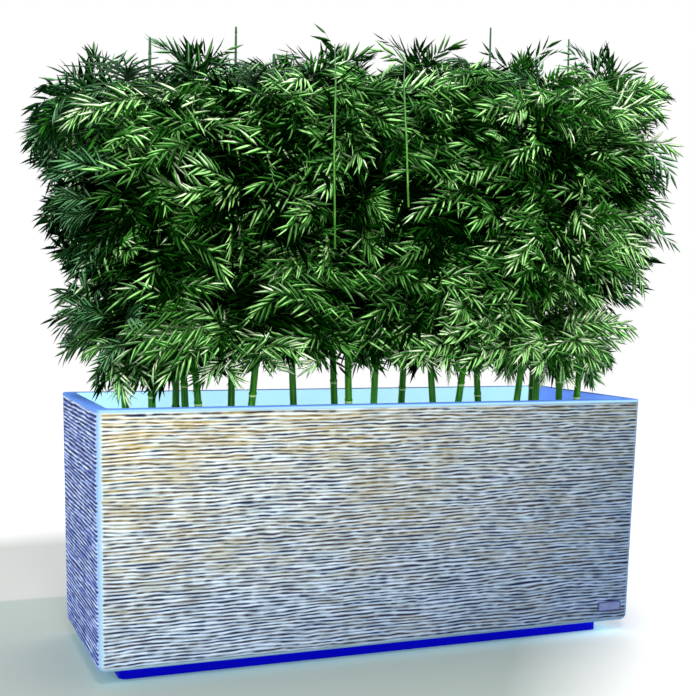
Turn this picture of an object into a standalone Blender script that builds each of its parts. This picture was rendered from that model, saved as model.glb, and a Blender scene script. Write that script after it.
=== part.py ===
# Potted bamboo: a clump of culms in a long tapering trough, with a dense clipped hedge of leaves.
# Metres, +Z up. X runs along the trough, -Y is its front, and the origin is at the centre of the
# plinth's underside. Run it with blender --background --python part.py, or from the text editor.

import math
import random

import bmesh
import bpy
from mathutils import Matrix, Vector

# Trough
TROUGH_LENGTH = 1.14
TROUGH_WIDTH = 0.40
RIM_HEIGHT = 0.50
RIM_WIDTH = 0.026
WALL_INSET = 0.0105          # how far each wall comes in from the rim down to the underside
CORNER_RADIUS = 0.014
HOLLOW_RADIUS = 0.010
ROUND_STEPS = 3              # segments of every rounded edge
FLOOR_THICKNESS = 0.024
PLINTH_HEIGHT = 0.028
PLINTH_INSET = 0.047         # from the edge of the trough's underside
SOIL_DEPTH = 0.060           # from the rim down to the soil
PLATE_SIZE = (0.056, 0.0015, 0.020)
PLATE_CENTRE = (0.510, 0.063)            # along X, and its height
PLATE_RADIUS = 0.004
GAP = 0.0003                 # between any two pieces that touch

# Culms
CULM_RADIUS = 0.0078
CULM_TIP_RADIUS = 0.0026
CULM_SIDES = 6
CULM_FULL_HEIGHT = 0.82      # over which a culm thins, and rises straight from its lean
INTERNODE = 0.128
NODE_SWELL = 1.22
NODE_STEP = 0.006
FIRST_NODE = 0.022           # the lowest ring over the soil, on the culm where it is lowest
NODE_STAGGER = 0.016         # and how much higher it is from one culm to another
ROWS = {"front": -0.055, "middle": -0.008, "back": 0.046}
# foot along the trough, row, lean at the foot (sideways for each metre up), and how it ends
CULMS = (
    (-0.465, "back", -0.10, "leafy"), (-0.437, "front", -0.03, "bare"),
    (-0.368, "back", 0.00, "leafy"), (-0.360, "middle", -0.06, "leafy"),
    (-0.343, "front", -0.11, "leafy"), (-0.253, "back", 0.00, "bare"),
    (-0.246, "front", 0.10, "bare"), (-0.135, "middle", -0.06, "leafy"),
    (-0.025, "back", -0.06, "leafy"), (-0.034, "front", -0.04, "leafy"),
    (0.018, "front", 0.03, "leafy"), (0.126, "back", 0.05, "leafy"),
    (0.181, "middle", -0.10, "leafy"), (0.206, "front", 0.16, "bare"),
    (0.318, "back", -0.08, "leafy"), (0.348, "front", 0.14, "leafy"),
    (0.450, "back", 0.03, "leafy"), (0.429, "middle", 0.03, "leafy"),
    (0.489, "middle", 0.01, "bare"), (0.501, "front", 0.09, "leafy"),
)
BARE_TIP_RISE = 0.025        # how far a bare tip stands over the leaves
LEAFY_TIP_DROP = 0.150       # how far under the crown's top the other culms end

# Crown
CROWN_FOOT = 0.560
CROWN_SPLIT = 0.800
CROWN_SHOULDER = 1.040
CROWN_WIDEST = 1.000         # the height at which the crown is longest
CROWN_HALF_LENGTH = 0.670
FOOT_DRAW = (0.150, 0.450)   # how much less the half length is this far under the widest height
TOP_DRAW = (0.120, 0.200)    # and this far over it
CROWN_HALF_DEPTH = 0.290
CROWN_FOOT_DEPTH = 0.255     # the half depth of the lower tier
CROWN_TOP = 1.245            # at the middle of the trough
CROWN_TOP_SLOPE = 0.080      # the top rises towards +X
CULM_BAND = 0.072            # the culms stand inside this distance of the middle plane
END_FACE = 0.410             # the end masses start here at the crown's foot
END_LEAN = 0.150             # and their inner face leans out by this for each metre up
LOW_COLUMNS = 4
HIGH_COLUMNS = 5
TOP_COLUMNS = 5
TOP_ROUNDING = 0.050         # the top row is shorter than the widest tier by this at each end
MASS_GAP = 0.003             # from a mass to the edge of its own space

# Foliage
LEAF_LENGTH = 0.150          # each stands for a spray of the real leaves, which are a third as long
LEAF_WIDTH = 0.26            # as a share of its length
LEAF_THICKNESS = 0.034
LEAF_BELLY = 0.42            # where the leaf is widest, from its root
LEAF_ROLL = 0.35
LENGTH_JITTER = 0.06
TIP_LEAF_SWING = 0.60
TEST_SHARES = (0.3, 0.5, 0.7, 0.9)       # the points of a leaf that are kept off other leaves
FAN = (-1.45, 0.0, 1.45)     # how the leaves round a twig's foot turn away from straight down
FAN_JITTER = 0.20
FAN_SPREAD = 0.017           # from the twig to their roots
LEAF_SINK = 0.010            # how deep their roots go into the core
SECOND_TRIES = (0.0, 0.45, -0.45, 0.9, -0.9, 1.5, -1.5, 2.2, -2.2, 3.1)
SIZES = (1.0, 0.84, 0.70, 0.58)      # a leaf that doesn't fit is tried smaller
LEAF_SPACING = 0.020         # leaves of one mass keep this far apart
STAND_OUT = 0.62             # how far a hanging leaf stands out from the mass
STAND_UP = 1.10              # how far a leaf on the crown's top stands up
TOP_FACING = 0.72            # a spray that faces up more than this is one of the top's
EXPOSURE = 0.30              # and one that faces out less than this doesn't grow
SPRAYS_ALL_ROUND = 11        # of which those that face out of the crown grow
TWIG_RADIUS = 0.0028
TWIG_FOOT_RADIUS = 0.0036
TWIG_RISE = 0.60             # a twig leaves the stem this far up towards the height of its own tip
TWIG_REACH = 0.028           # how far a twig stands out of the core
TWIG_LEAF_SINK = 0.012       # how far a twig's own leaf starts inside its tip
STEM_RADIUS = 0.0036
STEM_END_RADIUS = 0.0032
STEM_LEVEL = 0.30            # how far up its mass a stem leaves the culm
GOLDEN_ANGLE = math.radians(137.5)
CORE_SHARE = 0.85            # of the mass's own half sizes
CORE_SHARE_OUT = 0.50        # of one that faces out of the crown
CORE_SHARE_TOP = 0.50        # of the height of a mass on top
CORE_DRAWN_BACK = 0.90       # how much of the room that this leaves is in front of the core
LEAST_VOLUME = 0.0004        # a Boolean that leaves less than this has failed
CORE_SQUARENESS = 0.66
LIMB_CLEARANCE = 0.004
LIMB_TEST_STEP = 0.006       # between the points of a leaf or stem that are kept off the culms
PASS_TESTS = 8               # levels at which a culm is tested against a mass's space


def clearScene():
    for item in list(bpy.data.objects):
        bpy.data.objects.remove(item)


def newCollection(name):
    collection = bpy.data.collections.new(name)
    bpy.context.scene.collection.children.link(collection)
    return collection


def principled(name, colour, roughness):
    material = bpy.data.materials.new(name)
    material.use_nodes = True
    shader = material.node_tree.nodes["Principled BSDF"]
    shader.inputs["Base Color"].default_value = (*colour, 1.0)
    shader.inputs["Roughness"].default_value = roughness
    shader.inputs["Metallic"].default_value = 0.0
    return material


def objectFrom(bm, name, collection, material=None):
    mesh = bpy.data.meshes.new(name)
    bm.to_mesh(mesh)
    bm.free()
    item = bpy.data.objects.new(name, mesh)
    collection.objects.link(item)
    if material:
        mesh.materials.append(material)
    return item


def wallHalf(height):
    """Outer half length and half width of the trough at a height."""
    inset = WALL_INSET * (RIM_HEIGHT - height) / (RIM_HEIGHT - PLINTH_HEIGHT)
    return TROUGH_LENGTH / 2 - inset, TROUGH_WIDTH / 2 - inset


def hollowHalf(height):
    half_length, half_width = wallHalf(height)
    return half_length - RIM_WIDTH, half_width - RIM_WIDTH


def taperedBlock(low, high, halfAt, radius, round_base=False):
    """A block whose plan follows halfAt(height), with round upright edges."""
    bm = bmesh.new()
    bmesh.ops.create_cube(bm, size=2.0)
    for vert in bm.verts:
        height = high if vert.co.z > 0 else low
        half_length, half_width = halfAt(height)
        vert.co = (vert.co.x * half_length, vert.co.y * half_width, height)
    rounded = []
    for edge in bm.edges:
        ends = [vert.co.z for vert in edge.verts]
        upright = abs(ends[0] - ends[1]) > (high - low) / 2
        at_base = max(ends) < low + (high - low) / 2
        if upright or (round_base and at_base):
            rounded.append(edge)
    bmesh.ops.bevel(bm, geom=rounded, offset=radius, segments=ROUND_STEPS, profile=0.5,
                    affect="EDGES", material=-1)
    return bm


def makeTrough(collection, cutters, material):
    trough = objectFrom(taperedBlock(PLINTH_HEIGHT, RIM_HEIGHT, wallHalf, CORNER_RADIUS, True),
                        "trough", collection, material)
    hollow = taperedBlock(PLINTH_HEIGHT + FLOOR_THICKNESS, RIM_HEIGHT + RIM_WIDTH, hollowHalf,
                          HOLLOW_RADIUS)
    cutter = objectFrom(hollow, "trough_hollow", cutters)
    cutter.hide_render = True
    cutter.display_type = "WIRE"
    cut = trough.modifiers.new("Hollow", "BOOLEAN")
    cut.operation = "DIFFERENCE"
    cut.object = cutter


def makePlinth(collection, material):
    half_length, half_width = wallHalf(PLINTH_HEIGHT)

    def plan(height):
        return half_length - PLINTH_INSET, half_width - PLINTH_INSET

    objectFrom(taperedBlock(0.0, PLINTH_HEIGHT - GAP, plan, CORNER_RADIUS), "plinth",
               collection, material)


def makeSoil(collection, material):
    def plan(height):
        half_length, half_width = hollowHalf(height)
        return half_length - GAP, half_width - GAP

    floor = PLINTH_HEIGHT + FLOOR_THICKNESS + GAP
    objectFrom(taperedBlock(floor, RIM_HEIGHT - SOIL_DEPTH, plan, HOLLOW_RADIUS), "soil",
               collection, material)


def makePlate(collection, material):
    """The small bare plate, flat on the sloping front wall."""
    thickness = PLATE_SIZE[1]
    bm = bmesh.new()
    bmesh.ops.create_cube(bm, size=1.0)
    bmesh.ops.scale(bm, vec=PLATE_SIZE, verts=bm.verts)
    across = [edge for edge in bm.edges if abs(edge.verts[0].co.y - edge.verts[1].co.y) > thickness / 2]
    bmesh.ops.bevel(bm, geom=across, offset=PLATE_RADIUS, segments=ROUND_STEPS, profile=0.5,
                    affect="EDGES", material=-1)
    plate = objectFrom(bm, "plate", collection, material)
    slope = math.atan(WALL_INSET / (RIM_HEIGHT - PLINTH_HEIGHT))
    out = Vector((0.0, -math.cos(slope), -math.sin(slope)))
    place, level = PLATE_CENTRE
    on_wall = Vector((place, -wallHalf(level)[1], level))
    plate.rotation_euler.x = slope
    plate.location = on_wall + out * (thickness / 2 + GAP)


def soilTop():
    return RIM_HEIGHT - SOIL_DEPTH


def crownTop(x):
    return CROWN_TOP + CROWN_TOP_SLOPE * x


def crownHalfLength(height):
    drawn, reach = FOOT_DRAW if height < CROWN_WIDEST else TOP_DRAW
    return CROWN_HALF_LENGTH - drawn * ((height - CROWN_WIDEST) / reach) ** 2


def culmPoint(foot, lean, row, height):
    """A culm's axis at a height: it leans from its foot and straightens as it rises."""
    rise = height - soilTop()
    shift = lean * (rise - rise * rise / (2 * CULM_FULL_HEIGHT))
    return Vector((foot + shift, ROWS[row], height))


def culmRadius(height):
    share = (height - soilTop()) / CULM_FULL_HEIGHT
    return CULM_RADIUS + (CULM_TIP_RADIUS - CULM_RADIUS) * share


def culmTip(foot, ending):
    top = crownTop(foot)
    return top + BARE_TIP_RISE if ending == "bare" else top - LEAFY_TIP_DROP


def nodeHeights(index, tip):
    """The rings of one culm: the first stands at a different height on each."""
    first = soilTop() + FIRST_NODE + NODE_STAGGER * (index * 3 % 5)
    count = int((tip - first - NODE_STEP) / INTERNODE) + 1
    return [first + INTERNODE * step for step in range(count)]


def culmMesh(index, clear=0.0):
    """One culm turned from its profile, then leaned so that its foot stays level.
    With clear it is the sleeve that keeps a mass off the culm."""
    foot, row, lean, ending = CULMS[index]
    tip = culmTip(foot, ending)
    low = soilTop() + GAP - clear
    spread = clear / math.cos(math.pi / CULM_SIDES)
    profile = [(0.0, tip + clear), (culmRadius(tip) + spread, tip + clear)]
    for height in reversed(nodeHeights(index, tip)):
        radius = culmRadius(height)
        profile.append((NODE_SWELL * radius + spread, height))
        profile.append((radius + spread, height - NODE_STEP))
    profile.append((culmRadius(low) + spread, low))
    profile.append((0.0, low))
    bm = bmesh.new()
    verts = [bm.verts.new((radius, 0.0, height)) for radius, height in profile]
    edges = [bm.edges.new(pair) for pair in zip(verts, verts[1:])]
    bmesh.ops.spin(bm, geom=verts + edges, cent=(0, 0, 0), axis=(0, 0, 1), angle=2 * math.pi,
                   steps=CULM_SIDES, use_merge=True)
    bmesh.ops.remove_doubles(bm, verts=bm.verts, dist=1e-6)
    bmesh.ops.recalc_face_normals(bm, faces=bm.faces)
    for vert in bm.verts:
        place = culmPoint(foot, lean, row, vert.co.z)
        vert.co.x += place.x
        vert.co.y += place.y
    return bm


def makeCulms(collection, cutters, material):
    sleeves = []
    for index in range(len(CULMS)):
        culm = objectFrom(culmMesh(index), f"culm_{index + 1:02d}", collection, material)
        culm.data.shade_smooth()
        sleeve = objectFrom(culmMesh(index, GAP), f"sleeve_{index + 1:02d}", cutters)
        sleeve.hide_render = True
        sleeve.display_type = "WIRE"
        sleeves.append(sleeve)
    return sleeves


def leafMesh():
    """A lance-shaped leaf one unit long from its root at the origin to its tip at +X."""
    bm = bmesh.new()
    bmesh.ops.create_uvsphere(bm, u_segments=4, v_segments=2, radius=1.0)
    bmesh.ops.rotate(bm, verts=bm.verts, cent=(0, 0, 0), matrix=Matrix.Rotation(math.pi / 2, 3, "Y"))
    for vert in bm.verts:
        along = 0.0 if vert.co.x < -0.5 else (1.0 if vert.co.x > 0.5 else LEAF_BELLY)
        vert.co = (along, vert.co.y * LEAF_WIDTH / 2, vert.co.z * LEAF_THICKNESS / 2)
    bmesh.ops.recalc_face_normals(bm, faces=bm.faces)
    mesh = bpy.data.meshes.new("leaf")
    bm.to_mesh(mesh)
    bm.free()
    return mesh


class Mass:
    """One mass of foliage: a box of its own inside the crown, and the pieces that grow in it.
    outward has a step along each axis on which the mass faces out of the crown."""

    def __init__(self, name, low, high, outward):
        self.name = name
        self.low = Vector(low)
        self.high = Vector(high)
        self.outward = outward
        self.twigs = []
        self.leaves = []

    def centre(self):
        return (self.low + self.high) / 2

    def coreHalf(self):
        half = (self.high - self.low) / 2
        share = [CORE_SHARE_OUT if step else CORE_SHARE for step in self.outward]
        if self.outward[2]:
            share[2] = CORE_SHARE_TOP
        return Vector(half[i] * share[i] for i in range(3))

    def coreCentre(self):
        spare = (self.high - self.low) / 2 - self.coreHalf()
        return self.centre() - Vector(self.outward[i] * spare[i] * CORE_DRAWN_BACK for i in range(3))

    def faces(self, out):
        """Whether a direction leaves the crown, and doesn't face the culms or the next mass."""
        return max(self.outward[i] * out[i] for i in range(3)) > EXPOSURE

    def holds(self, point, margin=MASS_GAP):
        """Whether a point is in the mass's own space, and inside the crown's outline."""
        inside = all(self.low[i] + margin <= point[i] <= self.high[i] - margin for i in range(3))
        inner = END_FACE + END_LEAN * (point.z - CROWN_FOOT)
        along = abs(point.x)
        if self.outward[0]:
            inside = inside and along >= inner + margin
        elif self.outward[2]:
            inside = inside and point.z <= crownTop(point.x)
        else:
            inside = inside and along <= inner - margin
        return inside and along <= crownHalfLength(point.z)


def limbDistance(point, skip=None):
    """How far a point is from the nearest culm's surface."""
    nearest = 1.0
    for index, (foot, row, lean, ending) in enumerate(CULMS):
        if index == skip or point.z > culmTip(foot, ending) + LIMB_CLEARANCE:
            continue
        axis = culmPoint(foot, lean, row, point.z)
        gap = math.hypot(point.x - axis.x, point.y - axis.y) - NODE_SWELL * culmRadius(point.z)
        nearest = min(nearest, gap)
    return nearest


def clearOfLimbs(a, b, radius, skip=None):
    steps = max(2, int((b - a).length / LIMB_TEST_STEP))
    points = [a.lerp(b, step / steps) for step in range(steps + 1)]
    return all(limbDistance(point, skip) > radius + LIMB_CLEARANCE for point in points)


def squared(ball):
    """A point of the round ball, moved out to a ball with squarer sides."""
    return Vector(math.copysign(abs(value) ** CORE_SQUARENESS, value) for value in ball)


def clearOfLeaves(mass, root, tip):
    """Whether a leaf keeps off the mass's other leaves."""
    points = [root.lerp(tip, share) for share in TEST_SHARES]
    for other, heading, side, length in mass.leaves:
        for share in TEST_SHARES:
            place = other + heading * length * share
            if any((place - point).length < LEAF_SPACING for point in points):
                return False
    return True


def growLeaf(mass, root, down, across, turn, out, rng):
    """A leaf with its face outwards. One that would leave the space or touch a culm is turned or
    shortened, and skipped if that isn't enough."""
    lift = STAND_UP if out.z > TOP_FACING else STAND_OUT
    roll = rng.uniform(-LEAF_ROLL, LEAF_ROLL)
    scale = rng.uniform(1 - LENGTH_JITTER, 1 + LENGTH_JITTER)
    for size in SIZES:
        for swing in SECOND_TRIES:
            angle = turn + swing
            heading = (down * math.cos(angle) + across * math.sin(angle) + out * lift).normalized()
            side = Matrix.Rotation(roll, 3, heading) @ heading.cross(out).normalized()
            length = LEAF_LENGTH * size * scale
            tip = root + heading * length
            belly = root + heading * length * LEAF_BELLY
            half = side * length * LEAF_WIDTH / 2
            inside = all(mass.holds(corner) for corner in (tip, belly + half, belly - half))
            if inside and clearOfLimbs(root, tip, half.length) and clearOfLeaves(mass, root, tip):
                mass.leaves.append((root, heading, side, length))
                return


def growSpray(mass, start, surface, out, rng):
    """A twig from the stem through the core with a leaf at its tip, and a fan of leaves that root in
    the core round it. They hang down, or stand up on the crown's top."""
    tip = surface + out * TWIG_REACH
    down = Vector((0, 0, -1)) + out * out.z
    if out.z > TOP_FACING:
        down = Vector((rng.uniform(-1, 1), rng.uniform(-1, 1), 0)) + Vector((out.x, out.y, 0))
    down.normalize()
    across = out.cross(down).normalized()
    before = len(mass.leaves)
    swing = rng.uniform(-TIP_LEAF_SWING, TIP_LEAF_SWING)
    growLeaf(mass, tip - out * TWIG_LEAF_SINK, down, across, swing, out, rng)
    if len(mass.leaves) > before:
        mass.twigs.append((start, tip, TWIG_FOOT_RADIUS, TWIG_RADIUS))
    for turn in FAN:
        turn += rng.uniform(-FAN_JITTER, FAN_JITTER)
        sideways = (down * math.cos(turn) + across * math.sin(turn)) * FAN_SPREAD
        growLeaf(mass, surface + sideways - out * LEAF_SINK, down, across, turn, out, rng)


def growMass(mass, root, seed):
    """The rule of growth: a stem from the culm through the middle of the space, and twigs off it
    that turn by the golden angle from one to the next, wherever they face out of the crown."""
    rng = random.Random(seed)
    centre = mass.coreCentre()
    half = mass.coreHalf()
    mass.twigs.append((root, centre, STEM_RADIUS, STEM_END_RADIUS))
    first = rng.uniform(0, 2 * math.pi)
    for number in range(SPRAYS_ALL_ROUND):
        height = 1 - 2 * (number + 0.5) / SPRAYS_ALL_ROUND
        level = math.sqrt(1 - height * height)
        turn = first + GOLDEN_ANGLE * number
        ball = Vector((math.cos(turn) * level, math.sin(turn) * level, height))
        reach = Vector(squared(ball)[i] * half[i] for i in range(3))
        out = Vector(ball[i] / half[i] for i in range(3)).normalized()
        if mass.faces(out):
            start = centre + Vector((0, 0, TWIG_RISE * reach.z))
            growSpray(mass, start, centre + reach, out, rng)


def stickBetween(a, b, radius_a, radius_b, collection):
    """A three-sided tapering twig."""
    along = b - a
    bm = bmesh.new()
    bmesh.ops.create_cone(bm, cap_ends=True, segments=3, radius1=radius_a, radius2=radius_b,
                          depth=along.length)
    stick = objectFrom(bm, "twig", collection)
    turn = along.to_track_quat("Z", "Y").to_matrix().to_4x4()
    stick.matrix_world = Matrix.Translation((a + b) / 2) @ turn


def coreOf(mass, collection):
    """The mass's dense heart: a squared ball that the twigs and leaves stand out of."""
    bm = bmesh.new()
    bmesh.ops.create_uvsphere(bm, u_segments=8, v_segments=4, radius=1.0)
    for vert in bm.verts:
        vert.co = squared(vert.co)
    bmesh.ops.scale(bm, vec=mass.coreHalf(), verts=bm.verts)
    bmesh.ops.translate(bm, vec=mass.coreCentre(), verts=bm.verts)
    return objectFrom(bm, mass.name, collection)


def bodiesOf(bm):
    """The separate bodies of a mesh, smallest first, each with its volume, which is negative for a
    sealed hollow."""
    waiting = set(bm.faces)
    bodies = []
    while waiting:
        front = [waiting.pop()]
        faces = list(front)
        while front:
            for edge in front.pop().edges:
                for face in edge.link_faces:
                    if face in waiting:
                        waiting.remove(face)
                        front.append(face)
                        faces.append(face)
        volume = 0.0
        for face in faces:
            corners = [vert.co for vert in face.verts]
            for second, third in zip(corners[1:], corners[2:]):
                volume += corners[0].dot(second.cross(third)) / 6
        bodies.append((volume, faces))
    return sorted(bodies, key=lambda body: body[0])


def mainBody(mesh):
    """Fills the hollows that fusing sealed, drops the loose scraps, and gives the volume that is
    left, or nothing where the mesh is not closed."""
    bm = bmesh.new()
    bm.from_mesh(mesh)
    bmesh.ops.triangulate(bm, faces=bm.faces)
    bodies = bodiesOf(bm)
    spare = [face for volume, faces in bodies[:-1] for face in faces]
    bmesh.ops.delete(bm, geom=spare, context="FACES")
    closed = bodies and all(len(edge.link_faces) == 2 for edge in bm.edges)
    bm.to_mesh(mesh)
    bm.free()
    return bodies[-1][0] if closed else 0.0


def fused(item, operation, operand):
    """The item's mesh after one Boolean with an object, or with every object of a collection."""
    for solver in ("EXACT", "MANIFOLD"):
        step = item.modifiers.new(operation.title(), "BOOLEAN")
        step.operation = operation
        step.solver = solver
        if isinstance(operand, bpy.types.Collection):
            step.operand_type = "COLLECTION"
            step.collection = operand
        else:
            step.object = operand
        depsgraph = bpy.context.evaluated_depsgraph_get()
        depsgraph.update()
        mesh = bpy.data.meshes.new_from_object(item.evaluated_get(depsgraph))
        item.modifiers.remove(step)
        if mainBody(mesh) > LEAST_VOLUME:
            return mesh
        bpy.data.meshes.remove(mesh)
    return None


def culmsThrough(mass, root):
    """The culm that a mass grows from, and those that run through its space."""
    found = {root}
    for index, (foot, row, lean, ending) in enumerate(CULMS):
        top = min(culmTip(foot, ending), mass.high.z)
        levels = [mass.low.z + (top - mass.low.z) * step / PASS_TESTS for step in range(PASS_TESTS + 1)]
        for level in levels if top > mass.low.z else []:
            axis = culmPoint(foot, lean, row, level)
            if all(mass.low[i] - CULM_RADIUS < axis[i] < mass.high[i] + CULM_RADIUS for i in range(2)):
                found.add(index)
    return sorted(found)


def loosePieces(mass, leaf):
    loose = newCollection("loose")
    for root, heading, side, length in mass.leaves:
        blade = bpy.data.objects.new("leaf", leaf)
        turn = Matrix((heading, side, heading.cross(side))).transposed().to_4x4()
        blade.matrix_world = Matrix.Translation(root) @ turn @ Matrix.Scale(length, 4)
        loose.objects.link(blade)
    for twig in mass.twigs:
        stickBetween(*twig, loose)
    return loose


def removeLoose(loose, leaf):
    for item in list(loose.objects):
        mesh = item.data
        bpy.data.objects.remove(item)
        if mesh != leaf:
            bpy.data.meshes.remove(mesh)
    bpy.data.collections.remove(loose)


def fuseMass(mass, leaf, sleeves, collection, material):
    """Joins one mass's core, twigs and leaves into one solid, cut clear of the culms. Where that
    fails, it has fewer leaves."""
    core = coreOf(mass, collection)
    plain = core.data
    joined = None
    while joined is None:
        core.data = plain
        loose = loosePieces(mass, leaf)
        joined = fused(core, "UNION", loose)
        for sleeve in sleeves:
            if joined:
                core.data = joined
                joined = fused(core, "DIFFERENCE", sleeve)
        removeLoose(loose, leaf)
        if joined is None:
            mass.leaves.pop()
    core.data = joined
    core.data.name = mass.name
    core.data.materials.clear()
    core.data.materials.append(material)


def crownMasses():
    """The crown's spaces, each in front and behind: two tiers of columns with a mass at each end,
    and a row on top."""
    masses = []
    tiers = (("low", CROWN_FOOT, CROWN_SPLIT, CROWN_FOOT_DEPTH, LOW_COLUMNS),
             ("high", CROWN_SPLIT, CROWN_SHOULDER, CROWN_HALF_DEPTH, HIGH_COLUMNS))
    for tier, low, high, depth, columns in tiers:
        inner = END_FACE + END_LEAN * (low - CROWN_FOOT)
        outer = crownHalfLength(min(high, CROWN_WIDEST))
        for row, way in (("front", -1), ("back", 1)):
            for column in range(columns):
                left = inner * (2 * column / columns - 1)
                right = inner * (2 * (column + 1) / columns - 1)
                masses.append(boxMass(f"{row}_{tier}_{column + 1}", (left, right),
                                      (way * CULM_BAND, way * depth), (low, high), (0, way, 0)))
            for end, side in (("left", -1), ("right", 1)):
                masses.append(boxMass(f"{row}_{tier}_{end}", (side * inner, side * outer),
                                      (0, way * depth), (low, high), (side, way, 0)))
    length = CROWN_HALF_LENGTH - TOP_ROUNDING
    for row, way in (("front", -1), ("back", 1)):
        for column in range(TOP_COLUMNS):
            left = length * (2 * column / TOP_COLUMNS - 1)
            right = length * (2 * (column + 1) / TOP_COLUMNS - 1)
            masses.append(boxMass(f"{row}_top_{column + 1}", (left, right), (0, way * CROWN_HALF_DEPTH),
                                  (CROWN_SHOULDER, crownTop(right)), (0, way, 1)))
    return masses


def boxMass(name, across, deep, high, outward):
    sides = [sorted(side) for side in (across, deep, high)]
    return Mass(name, [side[0] for side in sides], [side[1] for side in sides], outward)


def rootOf(mass):
    """Where a mass's stem leaves the nearest culm with a clear way to it: the culm's number and the
    stem's first point, on the culm's axis."""
    centre = mass.coreCentre()
    level = mass.low.z + STEM_LEVEL * (mass.high.z - mass.low.z)
    found = []
    for index, (foot, row, lean, ending) in enumerate(CULMS):
        start = culmPoint(foot, lean, row, min(level, culmTip(foot, ending) - LIMB_CLEARANCE))
        blocked = not clearOfLimbs(start, centre, STEM_RADIUS, index)
        found.append((blocked, (start - centre).length, index, start))
    blocked, length, index, start = min(found, key=lambda stem: stem[:3])
    return index, start


def makeFoliage(collection, sleeves, material):
    leaf = leafMesh()
    for seed, mass in enumerate(crownMasses()):
        index, root = rootOf(mass)
        growMass(mass, root, seed + 1)
        fuseMass(mass, leaf, [sleeves[i] for i in culmsThrough(mass, index)], collection, material)
    bpy.data.meshes.remove(leaf)


def main():
    clearScene()
    collection = newCollection("potted_bamboo")
    cutters = newCollection("cutters")
    makeTrough(collection, cutters, principled("trough_shell", (0.52, 0.72, 0.90), 0.55))
    makePlinth(collection, principled("trough_plinth", (0.005, 0.005, 0.42), 0.45))
    makeSoil(collection, principled("potting_soil", (0.05, 0.035, 0.025), 0.95))
    makePlate(collection, principled("bare_plate", (0.50, 0.62, 0.80), 0.40))
    sleeves = makeCulms(collection, cutters, principled("culm_skin", (0.10, 0.30, 0.06), 0.45))
    makeFoliage(collection, sleeves, principled("leaf_blade", (0.04, 0.16, 0.04), 0.55))


main()
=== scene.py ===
# Looks for the potted bamboo: camera, light and floor, the trough with its cord relief, the soil,
# the culms, and the sprays of leaves that grow from them.
import math

import bmesh
import bpy
import numpy as np
from mathutils import Matrix, Vector


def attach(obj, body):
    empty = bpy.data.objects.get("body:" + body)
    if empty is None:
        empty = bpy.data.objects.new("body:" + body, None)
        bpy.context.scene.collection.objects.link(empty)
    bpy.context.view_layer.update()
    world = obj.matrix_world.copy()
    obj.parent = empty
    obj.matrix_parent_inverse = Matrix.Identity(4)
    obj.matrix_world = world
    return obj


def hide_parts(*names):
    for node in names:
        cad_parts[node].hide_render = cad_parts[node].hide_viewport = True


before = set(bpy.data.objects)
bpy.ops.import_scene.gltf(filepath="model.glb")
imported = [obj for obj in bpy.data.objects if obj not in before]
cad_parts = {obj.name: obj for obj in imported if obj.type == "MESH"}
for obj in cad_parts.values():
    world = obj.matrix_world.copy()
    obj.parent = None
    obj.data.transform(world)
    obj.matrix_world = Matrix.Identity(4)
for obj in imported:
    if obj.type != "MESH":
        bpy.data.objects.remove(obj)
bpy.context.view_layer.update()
scene = bpy.context.scene
scene.view_settings.view_transform = "Standard"
print("frame loaded")

# camera, light and floor

view = {
    "place": (-0.9203, -2.2327, 0.6978),
    "turn": 22.026,          # degrees to the right of +Y
    "down": 2.346,
    "roll": 0.965,
    "lens": 60.14,
    "sensor": 36.0,
}

light = {
    "world": (1.0, 1.0, 1.0),
    "worldStrength": 1.0,
    "aim": (0.0, 0.0, 0.65),
    "lamps": (               # name, place, size, watts, colour
        ("key", (-0.9, -2.9, 2.7), 1.0, 66.0, (1.0, 0.99, 0.95)),
        ("low", (-0.3, -3.4, 0.75), 1.2, 13.0, (1.0, 1.0, 0.98)),
        ("fill", (-3.0, -0.6, 1.3), 2.0, 8.0, (0.88, 0.93, 1.0)),
        ("above", (0.2, 0.5, 3.2), 2.0, 34.0, (0.97, 0.99, 1.0)),
    ),
}

ground = {
    "radius": 6.0,
    "near": (0.362, 0.422, 0.398),
    "wall": (0.50, 0.51, 0.50),
    "far": (1.0, 1.0, 1.0),
    "edge": (0.48, 0.50),    # where the grey ends behind the trough
    "white": (1.06, 1.40),
    "right": (0.42, 0.80),   # the grey fades along a line that runs back to the right
    "slant": -0.70,
}


def addObject(name, data, materials=()):
    for material in materials:
        data.materials.append(material)
    thing = bpy.data.objects.new(name, data)
    scene.collection.objects.link(thing)
    return thing


def newPiece(bm, name, materials=(), smooth=True):
    mesh = bpy.data.meshes.new(name)
    bm.to_mesh(mesh)
    bm.free()
    mesh.polygons.foreach_set("use_smooth", np.full(len(mesh.polygons), smooth))
    return addObject(name, mesh, materials)


def setUpView():
    lens = bpy.data.cameras.new("camera")
    lens.lens = view["lens"]
    lens.sensor_width = view["sensor"]
    eye = addObject("camera", lens)
    turn = Matrix.Rotation(-math.radians(view["turn"]), 4, "Z")
    tilt = Matrix.Rotation(math.radians(90.0 - view["down"]), 4, "X")
    roll = Matrix.Rotation(math.radians(view["roll"]), 4, "Z")
    eye.matrix_world = Matrix.Translation(view["place"]) @ turn @ tilt @ roll
    scene.camera = eye


def setUpLight():
    world = bpy.data.worlds.new("studio")
    world.use_nodes = True
    sky = world.node_tree.nodes["Background"]
    sky.inputs["Color"].default_value = (*light["world"], 1.0)
    sky.inputs["Strength"].default_value = light["worldStrength"]
    scene.world = world
    for name, place, size, watts, colour in light["lamps"]:
        lamp = bpy.data.lights.new(name, "AREA")
        lamp.shape, lamp.size, lamp.energy, lamp.color = "DISK", size, watts, colour
        aim = Vector(light["aim"]) - Vector(place)
        facing = aim.to_track_quat("-Z", "Y").to_matrix().to_4x4()
        addObject(name, lamp).matrix_world = Matrix.Translation(place) @ facing


# material helpers

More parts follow.
